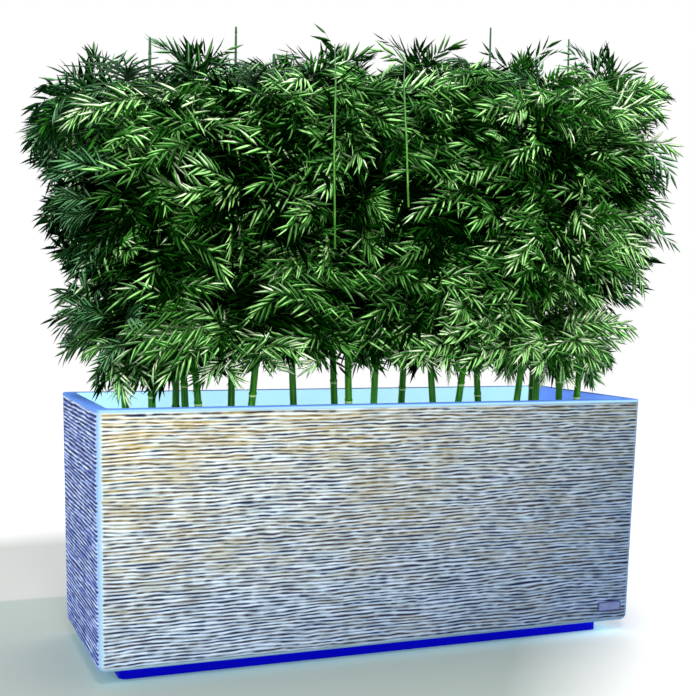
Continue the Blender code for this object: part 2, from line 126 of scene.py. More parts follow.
def fill(tree, node, sockets):
    # plain values are set on the node's sockets, and other nodes' outputs are linked to them
    for socket, value in sockets.items():
        if isinstance(value, bpy.types.NodeSocket):
            tree.links.new(value, node.inputs[socket])
        else:
            node.inputs[socket].default_value = value
    return node


def addNode(tree, kind, sockets):
    return fill(tree, tree.nodes.new("ShaderNode" + kind), sockets)


def newMaterial(name, roughness, specular=0.5):
    material = bpy.data.materials.new(name)
    material.use_nodes = True
    tree = material.node_tree
    shader = tree.nodes["Principled BSDF"]
    fill(tree, shader, {"Roughness": roughness, "Specular IOR Level": specular})
    return material, tree, shader


def objectPlace(tree, scale=(1.0, 1.0, 1.0), offset=(0.0, 0.0, 0.0)):
    place = addNode(tree, "TexCoord", {}).outputs["Object"]
    mapping = addNode(tree, "Mapping", {"Vector": place, "Scale": scale, "Location": offset})
    return mapping.outputs["Vector"]


def noise(tree, scale, detail, rough, offset=(0.0, 0.0, 0.0)):
    # scale is one number, or three where the pattern is drawn out
    if isinstance(scale, tuple):
        place, scale = objectPlace(tree, scale, offset), 1.0
    else:
        place = objectPlace(tree)
    sockets = {"Vector": place, "Scale": scale, "Detail": detail, "Roughness": rough}
    return addNode(tree, "TexNoise", sockets).outputs["Fac"]


def ramped(tree, factor, stops):
    ramp = addNode(tree, "ValToRGB", {"Fac": factor})
    points = ramp.color_ramp.elements
    while len(points) < len(stops):
        points.new(0.5)
    for point, (position, colour) in zip(points, stops):
        point.position = position
        point.color = (*colour, 1.0)
    return ramp.outputs["Color"]


def spread(tree, value, low, high, toLow=0.0, toHigh=1.0):
    sockets = {"Value": value, "From Min": low, "From Max": high, "To Min": toLow, "To Max": toHigh}
    return addNode(tree, "MapRange", sockets).outputs["Result"]


def calculated(tree, operation, values, clamp=True):
    node = tree.nodes.new("ShaderNodeMath")
    node.operation, node.use_clamp = operation, clamp
    return fill(tree, node, dict(enumerate(values))).outputs["Value"]


def mixed(tree, factor, first, second, blend="MIX"):
    node = tree.nodes.new("ShaderNodeMix")
    node.data_type, node.blend_type = "RGBA", blend
    first, second = [(*tint, 1.0) if isinstance(tint, tuple) else tint for tint in (first, second)]
    return fill(tree, node, {0: factor, 6: first, 7: second}).outputs[2]


def bumped(tree, height, strength, distance):
    sockets = {"Height": height, "Strength": strength, "Distance": distance}
    return addNode(tree, "Bump", sockets).outputs["Normal"]


def axisOf(tree, axis):
    return addNode(tree, "SeparateXYZ", {"Vector": objectPlace(tree)}).outputs[axis]


def makeFloor():
    bm = bmesh.new()
    bmesh.ops.create_circle(bm, cap_ends=True, segments=96, radius=ground["radius"])
    material, tree, shader = newMaterial("paleFloor", 0.7, 0.2)
    depth, side = axisOf(tree, 1), axisOf(tree, 0)
    tint = mixed(tree, spread(tree, depth, *ground["white"]), ground["wall"], ground["far"])
    tint = mixed(tree, spread(tree, depth, *ground["edge"]), ground["near"], tint)
    slanted = calculated(tree, "MULTIPLY_ADD", (depth, ground["slant"], side), False)
    tint = mixed(tree, spread(tree, slanted, *ground["right"]), tint, ground["far"])
    fill(tree, shader, {"Base Color": tint})
    floor = newPiece(bm, "floor", (material,))


setUpView()
setUpLight()
makeFloor()
print("camera, light and floor are set")

# the trough: a hollow core with a smooth rim, and a skin of cord relief on each wall

trough = {
    "length": 1.14,
    "width": 0.40,
    "top": 0.50,
    "base": 0.028,
    "inset": 0.0105,         # how far each wall comes in from the rim down to the underside
    "rim": 0.026,
    "floor": 0.024,
    "corner": 0.014,
    "cornerSteps": 6,
    "hollowCorner": 0.010,
    "hollowOver": 0.02,      # how far the hollow is cut on over the rim
    "rimEdge": 0.0030,
    "lip": 0.0050,           # smooth strip under the rim
    "step": 0.0002,          # height over which the core steps back under that strip
    "recess": 0.0036,        # how far the core lies behind the skin
    "insideDepth": 0.2,      # what lies deeper than this has the shades of the inside
}

# of the values in pairs, the first is for the long walls and the second for the ends
cords = {
    "pitch": (0.0067, 0.0076),   # from one cord to the next
    "stretch": (1.0, 0.5),   # the ends' cords are longer drawn
    "fade": (0.0085, 0.0140),    # over which they end at a corner
    "depth": 0.0024,
    "rowsPerCord": 5,
    "step": 0.0060,          # along the cords
    # how far a cord strays, in cords, over what length, and how unlike the one beside it
    "wander": ((0.17, 0.024, 0.80), (0.46, 0.110, 0.24)),
    "fullness": 0.62,        # below 1 the cords are broader than their grooves
    "dash": (0.0125, 3.7, 11.0),     # length, and the pattern's move from cord to cord and start
    "dashEnds": (0.22, 0.44),
    "filled": 0.52,          # how far a groove fills up where the cords run together
    "grain": (0.013, 5.1, 7.0),
    "grainShare": 0.22,
    "raggedLength": 0.006,
    "raggedShare": 0.65,
    "topFade": (0.0012, 0.004),
    "footFade": (48.0, 0.5), # degrees round the lower edge, and over what angle
    "lap": 0.0005,           # how far the skin reaches up behind the rim's strip
    "thickness": 0.0040,
    "proud": 0.0003,
    "sunk": 0.0001,
    "arcSteps": 5,
    "under": 82.0,           # how far the skin turns under the trough, in degrees
}

walls = (                    # name, way out, along the trough, seed, how far round its two corners
    ("cordsFront", -1, True, 11, (30.0, 40.0)),
    ("cordsBack", 1, True, 23, (30.0, 30.0)),
    ("cordsLeft", -1, False, 37, (32.0, 44.0)),
    ("cordsRight", 1, False, 41, (30.0, 30.0)),
)

cordFinish = {               # tones from the groove to the crest, a painted shade and highlight; tints of the far end and the foot, a painted shade
    "frontCords": {
        "tones": ((0.005, 0.009, 0.05), (0.11, 0.13, 0.20), (0.50, 0.59, 0.59), (0.94, 1.0, 1.0)),
        "smooth": (0.37, 0.57, 0.73),
        "sand": (0.49, 0.36, 0.11),
        "sandShare": 1.0,
        "farShadeTint": (0.31, 0.385, 0.50),
        "footShadeTint": (0.66, 0.76, 1.0),
        "specular": 0.12,
    },
    # the ends' cords: a darker, bluer copy of the front's, a painted shade on the end walls
    "shadedEndCords": {
        "tones": ((0.001, 0.003, 0.04), (0.009, 0.018, 0.13), (0.16, 0.26, 0.76),
                  (0.78, 0.92, 1.0)),
        "smooth": (0.28, 0.46, 0.90),
        "sand": (0.12, 0.16, 0.42),
        "sandShare": 0.15,
        "farShadeTint": (0.90, 0.90, 0.95),
        "footShadeTint": (0.90, 0.90, 1.0),
        "specular": 0.05,
    },
}

shellFinish = (              # name, colour, its deeper shade, specular, glow; the blue ones are painted shade, and the glow of the insides is painted light
    ("paleShell", (0.33, 0.58, 0.76), (0.28, 0.51, 0.72), 0.1, 0.0),
    ("blueShadeShell", (0.17, 0.36, 0.92), (0.13, 0.30, 0.88), 0.0, 0.0),
    ("paleGlowInside", (0.50, 0.86, 0.97), (0.42, 0.80, 0.96), 0.2, 0.85),
    ("blueShadeGlowInside", (0.15, 0.31, 0.94), (0.12, 0.26, 0.90), 0.1, 0.75),
)


wallSlope = trough["inset"] / (trough["top"] - trough["base"])


def wallHalf(height):
    inset = wallSlope * (trough["top"] - height)
    return trough["length"] / 2 - inset, trough["width"] / 2 - inset


def hollowHalf(height):
    return [half - trough["rim"] for half in wallHalf(height)]


def smoothed(share):
    share = np.clip(share, 0.0, 1.0)
    return share * share * (3 - 2 * share)


def softNoise(u, v, seed):
    # a seeded lattice of numbers, blended smoothly from point to point
    size = 256
    lattice = np.random.default_rng(seed).random((size, size))
    column, row = np.floor(u).astype(int), np.floor(v).astype(int)
    across, up = smoothed(u - column), smoothed(v - row)
    low, high = [lattice[column % size, level % size] * (1 - across) +
                 lattice[(column + 1) % size, level % size] * across for level in (row, row + 1)]
    return low * (1 - up) + high * up


def rounded(bm, edges, radius, steps):
    bmesh.ops.bevel(bm, geom=edges, offset=radius, segments=steps, profile=0.5, affect="EDGES",
                    material=-1)


def taperedBlock(low, high, halfAt, radius, roundBase):
    bm = bmesh.new()
    bmesh.ops.create_cube(bm, size=2.0)
    for vert in bm.verts:
        height = high if vert.co.z > 0 else low
        halfLength, halfWidth = halfAt(height)
        vert.co = (vert.co.x * halfLength, vert.co.y * halfWidth, height)
    edges = []
    for edge in bm.edges:
        ends = [vert.co.z > (low + high) / 2 for vert in edge.verts]
        if ends[0] != ends[1] or (roundBase and not any(ends)):
            edges.append(edge)
    rounded(bm, edges, radius, trough["cornerSteps"])
    return bm


def makeShell(materials):
    top, base = trough["top"], trough["base"]
    bm = taperedBlock(base, top, wallHalf, trough["corner"], True)
    lip = top - trough["lip"]
    for height in (lip - trough["step"], lip):
        bmesh.ops.bisect_plane(bm, geom=bm.verts[:] + bm.edges[:] + bm.faces[:],
                               plane_co=(0, 0, height), plane_no=(0, 0, 1))
    for vert in bm.verts:      # the core stands back behind the skin, but not under the trough
        if vert.co.z < lip - trough["step"] / 2:
            rise = min(1.0, max(0.0, (vert.co.z - base) / trough["corner"]))
            back = trough["recess"] * math.sqrt(1 - (1 - rise) ** 2)
            vert.co.x -= math.copysign(back, vert.co.x)
            vert.co.y -= math.copysign(back, vert.co.y)
    shell = newPiece(bm, "troughShell", materials)
    hollow = taperedBlock(base + trough["floor"], top + trough["hollowOver"], hollowHalf,
                          trough["hollowCorner"], False)
    cut = shell.modifiers.new("Hollow", "BOOLEAN")
    cut.operation = "DIFFERENCE"
    cut.solver = "EXACT"
    cut.object = newPiece(hollow, "hollow")
    depsgraph = bpy.context.evaluated_depsgraph_get()
    depsgraph.update()
    bm = bmesh.new()
    bm.from_object(shell, depsgraph)
    bpy.data.objects.remove(cut.object)
    shell.modifiers.clear()
    level, sharp = top - 0.0005, 1.0
    rim = [edge for edge in bm.edges if min(vert.co.z for vert in edge.verts) > level and
           len(edge.link_faces) == 2 and edge.calc_face_angle() > sharp]
    rounded(bm, rim, trough["rimEdge"], 3)
    for face in bm.faces:      # pale lip; blue rim top and ends, a painted shade; inside, pale walls and blue ones facing left (painted shade), both glowing as painted light
        middle, normal = face.calc_center_median(), face.normal
        depth = top - middle.z
        inside = middle.x * normal.x + middle.y * normal.y < 0 or depth > trough["insideDepth"]
        face.material_index = 0
        if depth > 0.3 * trough["rimEdge"] and inside:
            face.material_index = 3 if normal.x < -0.5 else 2
        elif normal.z > 0.55 or abs(normal.x) > 0.6:
            face.material_index = 1
        face.smooth = True
    bm.to_mesh(shell.data)
    bm.free()
    shell.data.set_sharp_from_angle(angle=math.radians(40))
    return shell


def cordHeight(distance, up, pitch, seed):
    # 0 in a groove, 1 on a cord: strands that stray, part and run together
    rows = up / pitch
    phase = rows
    for number, (reach, length, unlike) in enumerate(cords["wander"]):
        stray = softNoise(distance / length, rows * unlike, seed + number) - 0.5
        phase = phase + reach * stray * 2
    body = (0.5 - 0.5 * np.cos(2 * math.pi * phase)) ** cords["fullness"]
    strand = np.floor(phase + 0.5)
    grain, dashes = [softNoise(distance / length, strand * move + start, seed + number)
                     for number, (length, move, start) in ((2, cords["grain"]), (3, cords["dash"]))]
    dashes = smoothed((dashes - cords["dashEnds"][0]) / cords["dashEnds"][1])
    parted = cords["filled"] + (1 - cords["filled"]) * dashes
    level = 1 - cords["grainShare"] + cords["grainShare"] * grain
    return np.clip((1 - (1 - body) * parted) * level, 0.0, 1.0)


def closedSheet(columns, rows):
    # a grid with walls drawn from its edge and a lid on them, and which points are not on the grid
    bm = bmesh.new()
    bmesh.ops.create_grid(bm, x_segments=columns, y_segments=rows, size=1.0)
    rim = [edge for edge in bm.edges if edge.is_boundary]
    drawn = bmesh.ops.extrude_edge_only(bm, edges=rim)["geom"]
    back = {item for item in drawn if isinstance(item, bmesh.types.BMVert)}
    ring = [item for item in drawn if isinstance(item, bmesh.types.BMEdge) and
            all(vert in back for vert in item.verts)]
    lid = bmesh.ops.edgeloop_fill(bm, edges=ring)["faces"]
    back |= set(bmesh.ops.poke(bm, faces=lid)["verts"])
    return bm, np.array([vert in back for vert in bm.verts])


def makeSkin(name, side, across, seed, corners, material):
    kind, radius, arc = 0 if across else 1, trough["corner"], cords["arcSteps"]
    pitch = cords["pitch"][kind]
    top = trough["top"] - trough["lip"] + cords["lap"]
    straight = top - trough["base"] - radius
    flat = int(2 * (wallHalf(top)[kind] - radius) / cords["step"])
    rise = int(straight / pitch * cords["rowsPerCord"])
    columns, rows = flat + 2 * arc, rise + 2 * arc
    bm, behind = closedSheet(columns, rows)
    column, row = [(np.array([vert.co[axis] for vert in bm.verts]) + 1) / 2 * count
                   for axis, count in enumerate((columns, rows))]
    share = np.clip((column - arc) / flat, 0, 1) * 2 - 1
    turn = np.clip(column - arc - flat, 0, arc) - np.clip(arc - column, 0, arc)
    turn = turn / arc * math.pi / 4
    under = np.clip(1 - row / (2 * arc), 0, 1) * math.radians(cords["under"])
    up = trough["base"] + radius * (1 - np.sin(under))
    up = up + np.clip((row - 2 * arc) / rise, 0, 1) * straight
    half, deep = [reach - radius for reach in (wallHalf(up) if across else wallHalf(up)[::-1])]
    distance = share * half + turn * radius
    relief = cordHeight((distance + 3.0) * cords["stretch"][kind], up, pitch, seed)
    # the relief ends raggedly at the corners, under the lip and on the lower edge
    ragged = softNoise(up / cords["raggedLength"], share * 0 + 5, seed + 4)
    ragged = 1 - cords["raggedShare"] + cords["raggedShare"] * ragged
    fade = cords["fade"][kind] * ragged
    keep = 1.0
    for way, angle in zip((1, -1), corners):
        keep = keep * smoothed((way * distance + half + math.radians(angle) * radius) / fade)
    (topGap, topFade), (footAngle, footFade) = cords["topFade"], cords["footFade"]
    keep *= smoothed((top - topGap - up) / topFade / ragged)
    keep *= smoothed((math.radians(footAngle) - under) / footFade)
    relief = 1 - (1 - relief) * keep
    out = cords["proud"] * keep - cords["depth"] * (1 - relief) - cords["sunk"]
    out = np.where(behind, -cords["thickness"], out)
    bend = (radius + out) * np.cos(under)
    lengthwise = share * half + bend * np.sin(turn)
    outward = deep + bend * np.cos(turn)
    up = up - out * np.where(under > 0, np.sin(under), wallSlope)
    flat = (-side * lengthwise, side * outward) if across else (side * outward, side * lengthwise)
    for vert, place in zip(bm.verts, np.stack([*flat, up], axis=1)):
        vert.co = place
    bm.normal_update()
    bmesh.ops.recalc_face_normals(bm, faces=bm.faces)
    skin = newPiece(bm, name, (material,))
    for label, values in (("relief", relief), ("keep", keep)):
        skin.data.attributes.new(label, "FLOAT", "POINT").data.foreach_set("value", values)
    skin.data.set_sharp_from_angle(angle=math.radians(60))
    return skin


def plasticShell(name, colour, deeper, specular, paintedGlow=0.0):
    material, tree, shader = newMaterial(name, 0.42, specular)
    cloud = noise(tree, 6.0, 4.0, 0.6)
    grain = noise(tree, 420.0, 2.0, 0.5)
    tint = mixed(tree, spread(tree, cloud, 0.35, 0.7), colour, deeper)
    fill(tree, shader, {"Base Color": tint, "Roughness": spread(tree, grain, 0.3, 0.7, 0.40, 0.55),
                        "Normal": bumped(tree, grain, 0.10, 0.0006)})
    if paintedGlow:                   # painted light: the inside walls glow so that they look lit
        fill(tree, shader, {"Emission Color": tint, "Emission Strength": paintedGlow})
    return material


def cordPlastic(name, tones, smooth, sand, sandShare, farShadeTint, footShadeTint, specular):
    material, tree, shader = newMaterial(name, 0.55, specular)
    relief, keep = addNode(tree, "Attribute", {}), addNode(tree, "Attribute", {})
    relief.attribute_name, keep.attribute_name = "relief", "keep"
    height = relief.outputs["Fac"]
    along, up, plain = axisOf(tree, 0), axisOf(tree, 2), (1.0, 1.0, 1.0)
    streak = noise(tree, (16.0, 16.0, 190.0), 3.0, 0.6)
    shade = calculated(tree, "ADD", (height, spread(tree, streak, 0.3, 0.7, -0.16, 0.16)))
    # painted shade and highlight: the tones run from near black in the grooves to near white on the
    # crests
    tint = ramped(tree, shade, tuple(zip((0.18, 0.42, 0.70, 0.93), tones)))
    # sand lies in dashes and patches on the cords' flanks, with more of it high up and to the left
    dashes = noise(tree, (11.0, 11.0, 170.0), 2.0, 0.5, (3.0, 1.0, 0.0))
    patches = noise(tree, (3.0, 3.0, 7.0), 2.0, 0.5, (0.7, 0.0, 0.4))
    sandy = spread(tree, dashes, 0.38, 0.62)
    for value, span in ((patches, (0.30, 0.60, 0.3, 1.0)), (up, (0.08, 0.46, 0.52, 1.0)),
                        (along, (-0.35, 0.55, 1.0, 0.92)), (height, (0.10, 0.40)),
                        (height, (0.95, 0.55, 0.25, 1.0))):
        sandy = calculated(tree, "MULTIPLY", (sandy, spread(tree, value, *span)))
    tint = mixed(tree, calculated(tree, "MULTIPLY", (sandy, sandShare)), tint, sand)
    # painted shade: darker and bluer towards the far end and the foot
    far = mixed(tree, spread(tree, along, -0.50, 0.57), plain, farShadeTint)
    foot = mixed(tree, spread(tree, up, 0.46, 0.03), plain, footShadeTint)
    tint = mixed(tree, 1.0, mixed(tree, 1.0, tint, far, "MULTIPLY"), foot, "MULTIPLY")
    tint = mixed(tree, keep.outputs["Fac"], mixed(tree, 1.0, smooth, far, "MULTIPLY"), tint)
    grain = noise(tree, (60.0, 60.0, 600.0), 3.0, 0.6)
    fill(tree, shader, {"Base Color": tint, "Normal": bumped(tree, grain, 0.25, 0.0010)})
    return material


shell = makeShell([plasticShell(*finish) for finish in shellFinish])
frontCords, shadedEndCords = [cordPlastic(name, **finish) for name, finish in cordFinish.items()]
skins = [makeSkin(*wall, frontCords if wall[2] else shadedEndCords) for wall in walls]
for piece in [shell] + skins:
    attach(piece, "root")
    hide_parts("trough")
print("trough made,", sum(len(piece.data.polygons) for piece in skins), "faces of relief")

# the plinth and the bare plate

# the plinth's deep blue is the colour of its shaded face, a painted shade
plinthPaint = plasticShell("plinthShadeBlue", (0.0, 0.0, 0.50), (0.0, 0.0, 0.43), 0.04)
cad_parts["plinth"].material_slots[0].material = plinthPaint

plate = {
    "size": (0.056, 0.0018, 0.020),
    "place": 0.510,
    "height": 0.063,
    "radius": 0.0045,
    "border": 0.0016,
    "sunk": 0.0005,
    "edge": 0.0004,
    "gap": 0.0003,
    "field": ((0.105, 0.145, 0.31), (0.075, 0.105, 0.25)),     # colour, and where it is worn
    "rim": ((0.015, 0.025, 0.14), (0.030, 0.045, 0.20)),
}


def forwardOrder(face):
    return round(face.calc_center_median().y, 6), -face.calc_area()


def makePlate(materials):
    thick = plate["size"][1]
    bm = bmesh.new()
    bmesh.ops.create_cube(bm, size=1.0)
    bmesh.ops.scale(bm, vec=plate["size"], verts=bm.verts)
    across = [edge for edge in bm.edges if abs(edge.verts[0].co.y - edge.verts[1].co.y) > thick / 2]
    rounded(bm, across, plate["radius"], 6)
    front = min(bm.faces, key=forwardOrder)
    rounded(bm, list(front.edges), plate["edge"], 2)
    front = min(bm.faces, key=forwardOrder)
    for inwards in (plate["border"], plate["sunk"]):
        bmesh.ops.inset_individual(bm, faces=[front], thickness=inwards, use_even_offset=True)
    bmesh.ops.translate(bm, vec=(0.0, plate["sunk"], 0.0), verts=front.verts)
    slope = math.atan(wallSlope)
    bmesh.ops.rotate(bm, verts=bm.verts, cent=(0, 0, 0), matrix=Matrix.Rotation(slope, 3, "X"))
    place = Vector((plate["place"], -wallHalf(plate["height"])[1], plate["height"]))
    out = Vector((0.0, -math.cos(slope), -math.sin(slope)))
    bmesh.ops.translate(bm, vec=place + out * (thick / 2 + plate["gap"]), verts=bm.verts)
    for face in bm.faces:      # the raised rim is darker than the field
        face.material_index = 0 if face == front else 1
    piece = newPiece(bm, "barePlate", materials, False)
    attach(piece, "root")
    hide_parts("plate")


def plateFinish(name, colour, worn):
    material, tree, shader = newMaterial(name, 0.35)
    wear = noise(tree, 160.0, 3.0, 0.6)
    tint = mixed(tree, spread(tree, wear, 0.35, 0.7), colour, worn)
    fill(tree, shader, {"Base Color": tint, "Roughness": spread(tree, wear, 0.3, 0.7, 0.28, 0.45)})
    return material


makePlate((plateFinish("plateField", *plate["field"]), plateFinish("plateRim", *plate["rim"])))
print("plinth and plate finished")

# the soil

soil = {
    "top": 0.440,
    "bottom": 0.400,
    "gap": 0.0006,
    "columns": 230,
    "rows": 76,
    "lumps": 0.009,
    # share, fineness along and across, and start
    "crumbs": ((0.55, 34, 12, 90), (0.30, 95, 33, 90), (0.15, 110, 38, 120)),
    "tones": ((0.30, (0.012, 0.008, 0.005)), (0.55, (0.045, 0.030, 0.019)),
              (0.78, (0.110, 0.078, 0.050))),
    "flecks": (0.20, 0.16, 0.11),
}


def makeSoil():
    bm, low = closedSheet(soil["columns"], soil["rows"])
    halfLength, halfWidth = hollowHalf(soil["bottom"])
    x, y = [np.array([vert.co[axis] for vert in bm.verts]) for axis in range(2)]
    lumps = sum(share * softNoise(x * along + start, y * across + start, 5 + number)
                for number, (share, along, across, start) in enumerate(soil["crumbs"]))
    height = np.where(low, soil["bottom"], soil["top"] - soil["lumps"] * (1 - lumps))
    radius = trough["hollowCorner"]
    corner = np.maximum(0.0, np.abs(x) * halfLength - (halfLength - radius))
    draw = radius - np.sqrt(np.maximum(0.0, radius * radius - corner * corner))
    place = [x * (halfLength - soil["gap"]), y * (halfWidth - soil["gap"] - draw), height]
    for vert, spot in zip(bm.verts, np.stack(place, axis=1)):
        vert.co = spot
    bm.normal_update()
    bmesh.ops.recalc_face_normals(bm, faces=bm.faces)
    material, tree, shader = newMaterial("darkSoil", 0.95, 0.2)
    crumbs = noise(tree, 90.0, 6.0, 0.7)
    flecks = noise(tree, 320.0, 2.0, 0.5)
    flecks = spread(tree, flecks, 0.62, 0.74, 0.0, 0.7)
    tint = mixed(tree, flecks, ramped(tree, crumbs, soil["tones"]), soil["flecks"])
    fill(tree, shader, {"Base Color": tint, "Normal": bumped(tree, crumbs, 0.9, 0.004)})
    piece = newPiece(bm, "soilTop", (material,))
    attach(piece, "root")
    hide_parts("soil")


makeSoil()
print("soil made")

# the culms

culm = {
    "radius": 0.0078,
    "tipRadius": 0.0021,
    "sides": 14,
    "fullHeight": 0.82,      # over which a culm thins, and rises straight from its lean
    "buried": 0.012,
    "internode": 0.128,
    "firstNode": 0.022,
    "stagger": 0.016,
    "between": 0.985,        # the radius between the rings
    # from below a ring to above it: the radius, times the culm's, and the height
    "ring": ((0.985, -0.0085), (1.02, -0.0045), (1.10, -0.0022), (1.067, -0.0012), (0.99, -0.0007),
             (1.05, 0.0006), (1.17, 0.0024), (1.07, 0.0042), (0.96, 0.0066)),
    "pale": (-0.0042, -0.0004),      # the pale band of a ring
    "groove": 0.035,
    "rows": {"front": -0.055, "middle": -0.008, "back": 0.046},
    "crownTop": (1.245, 0.080),      # over the middle of the trough, and its rise to the right
    "leafyDrop": 0.150,      # how far below it the leafy culms end
    # bark: dark, mid and fresh tones
    "skin": ((0.006, 0.070, 0.001), (0.035, 0.270, 0.006), (0.170, 0.560, 0.030)),
    "band": ((0.40, 0.62, 0.20), (0.58, 0.80, 0.34), (0.72, 0.90, 0.50)),
    "shaded": (0.030, 0.075, 0.045),
}

# foot along the trough, row, lean at the foot, and the tip's height where it is bare
stems = (
    (-0.465, "back", -0.10, None), (-0.437, "front", -0.03, 1.184), (-0.368, "back", 0.00, None),
    (-0.360, "middle", -0.06, None), (-0.343, "front", -0.11, None), (-0.253, "back", 0.00, 1.245),
    (-0.246, "front", 0.10, 1.176), (-0.135, "middle", -0.06, None), (-0.025, "back", -0.06, None),
    (-0.034, "front", -0.04, None), (0.018, "front", 0.03, None), (0.126, "back", 0.05, None),
    (0.181, "middle", -0.10, None), (0.206, "front", 0.16, 1.276), (0.318, "back", -0.08, None),
    (0.348, "front", 0.14, None), (0.450, "back", 0.03, None), (0.429, "middle", 0.03, None),
    (0.489, "middle", 0.01, 1.283), (0.501, "front", 0.09, None),
)


def crownTop(x):
    height, rise = culm["crownTop"]
    return height + rise * x


def culmPoint(stem, height):
    foot, row, lean = stem[:3]
    rise = height - soil["top"]
    shift = lean * (rise - rise * rise / (2 * culm["fullHeight"]))
    return Vector((foot + shift, culm["rows"][row], height))


def culmRadius(height):
    share = (height - soil["top"]) / culm["fullHeight"]
    return culm["radius"] + (culm["tipRadius"] - culm["radius"]) * share


def culmTip(stem):
    return stem[3] if stem[3] else crownTop(stem[0]) - culm["leafyDrop"]


def ringsOf(number):
    first = soil["top"] + culm["firstNode"] + culm["stagger"] * (number * 3 % 5)
    return first + culm["internode"] * np.arange(8)


def culmProfile(rings, tip):
    foot = soil["top"] - culm["buried"]
    profile = [(0.0, foot), (culmRadius(foot), foot)]
    for ring in rings:
        below = profile[-1][1]
        for share in (0.35, 0.7):
            level = below + (ring - 0.008 - below) * share
            profile.append((culmRadius(level) * culm["between"], level))
        profile += [(culmRadius(ring) * wide, ring + up) for wide, up in culm["ring"]]
    return profile + [(culmRadius(tip) * 0.9, tip - 0.002), (0.0, tip)]


def makeCulms(materials):
    whole = bmesh.new()
    for number, stem in enumerate(stems):
        tip = culmTip(stem)
        rings = [ring for ring in ringsOf(number) if ring < tip - 0.012]
        bm = bmesh.new()
        verts = [bm.verts.new((radius, 0.0, height)) for radius, height in culmProfile(rings, tip)]
        edges = [bm.edges.new(pair) for pair in zip(verts, verts[1:])]
        bmesh.ops.spin(bm, geom=verts + edges, cent=(0, 0, 0), axis=(0, 0, 1), angle=2 * math.pi,
                       steps=culm["sides"], use_merge=True)
        bmesh.ops.remove_doubles(bm, verts=bm.verts, dist=1e-6)
        bmesh.ops.recalc_face_normals(bm, faces=bm.faces)
        for vert in bm.verts:      # a shallow groove up one side, as over a branch bud
            turn = math.atan2(vert.co.y, vert.co.x) + number
            narrow = 1 - culm["groove"] * max(0.0, math.cos(turn)) ** 6
            vert.co.x *= narrow
            vert.co.y *= narrow
            place = culmPoint(stem, vert.co.z)
            vert.co.x += place.x
            vert.co.y += place.y
        for face in bm.faces:
            middle = face.calc_center_median().z
            ring = min(rings, key=lambda level: abs(level - middle))
            if culm["pale"][0] < middle - ring < culm["pale"][1]:
                face.material_index = 1
        mesh = bpy.data.meshes.new("culm")
        bm.to_mesh(mesh)
        bm.free()
        whole.from_mesh(mesh)
        bpy.data.meshes.remove(mesh)
    piece = newPiece(whole, "culms", materials)
    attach(piece, "root")
    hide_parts(*[f"culm_{number + 1:02d}" for number in range(len(stems))])


def bambooSkin(name, dark, mid, fresh):
    material, tree, shader = newMaterial(name, 0.36, 0.18)
    streaks = noise(tree, (420.0, 420.0, 9.0), 3.0, 0.6)
    bloom = noise(tree, (7.0, 7.0, 3.0), 2.0, 0.5)
    tint = ramped(tree, streaks, ((0.28, dark), (0.52, mid), (0.74, fresh)))
    tint = mixed(tree, spread(tree, bloom, 0.45, 0.75, 0.0, 0.45), tint, dark)
    tint = mixed(tree, spread(tree, axisOf(tree, 2), 0.95, 1.15, 0.0, 0.8), tint, culm["shaded"])
    gloss = spread(tree, streaks, 0.3, 0.7, 0.26, 0.42)
    fill(tree, shader, {"Base Color": tint, "Roughness": gloss,
                        "Normal": bumped(tree, streaks, 0.25, 0.0008)})
    return material


makeCulms((bambooSkin("culmSkin", *culm["skin"]), bambooSkin("culmRing", *culm["band"])))
print("culms made")

# the crown: the masses of the source, grown again with finer twigs and real leaves

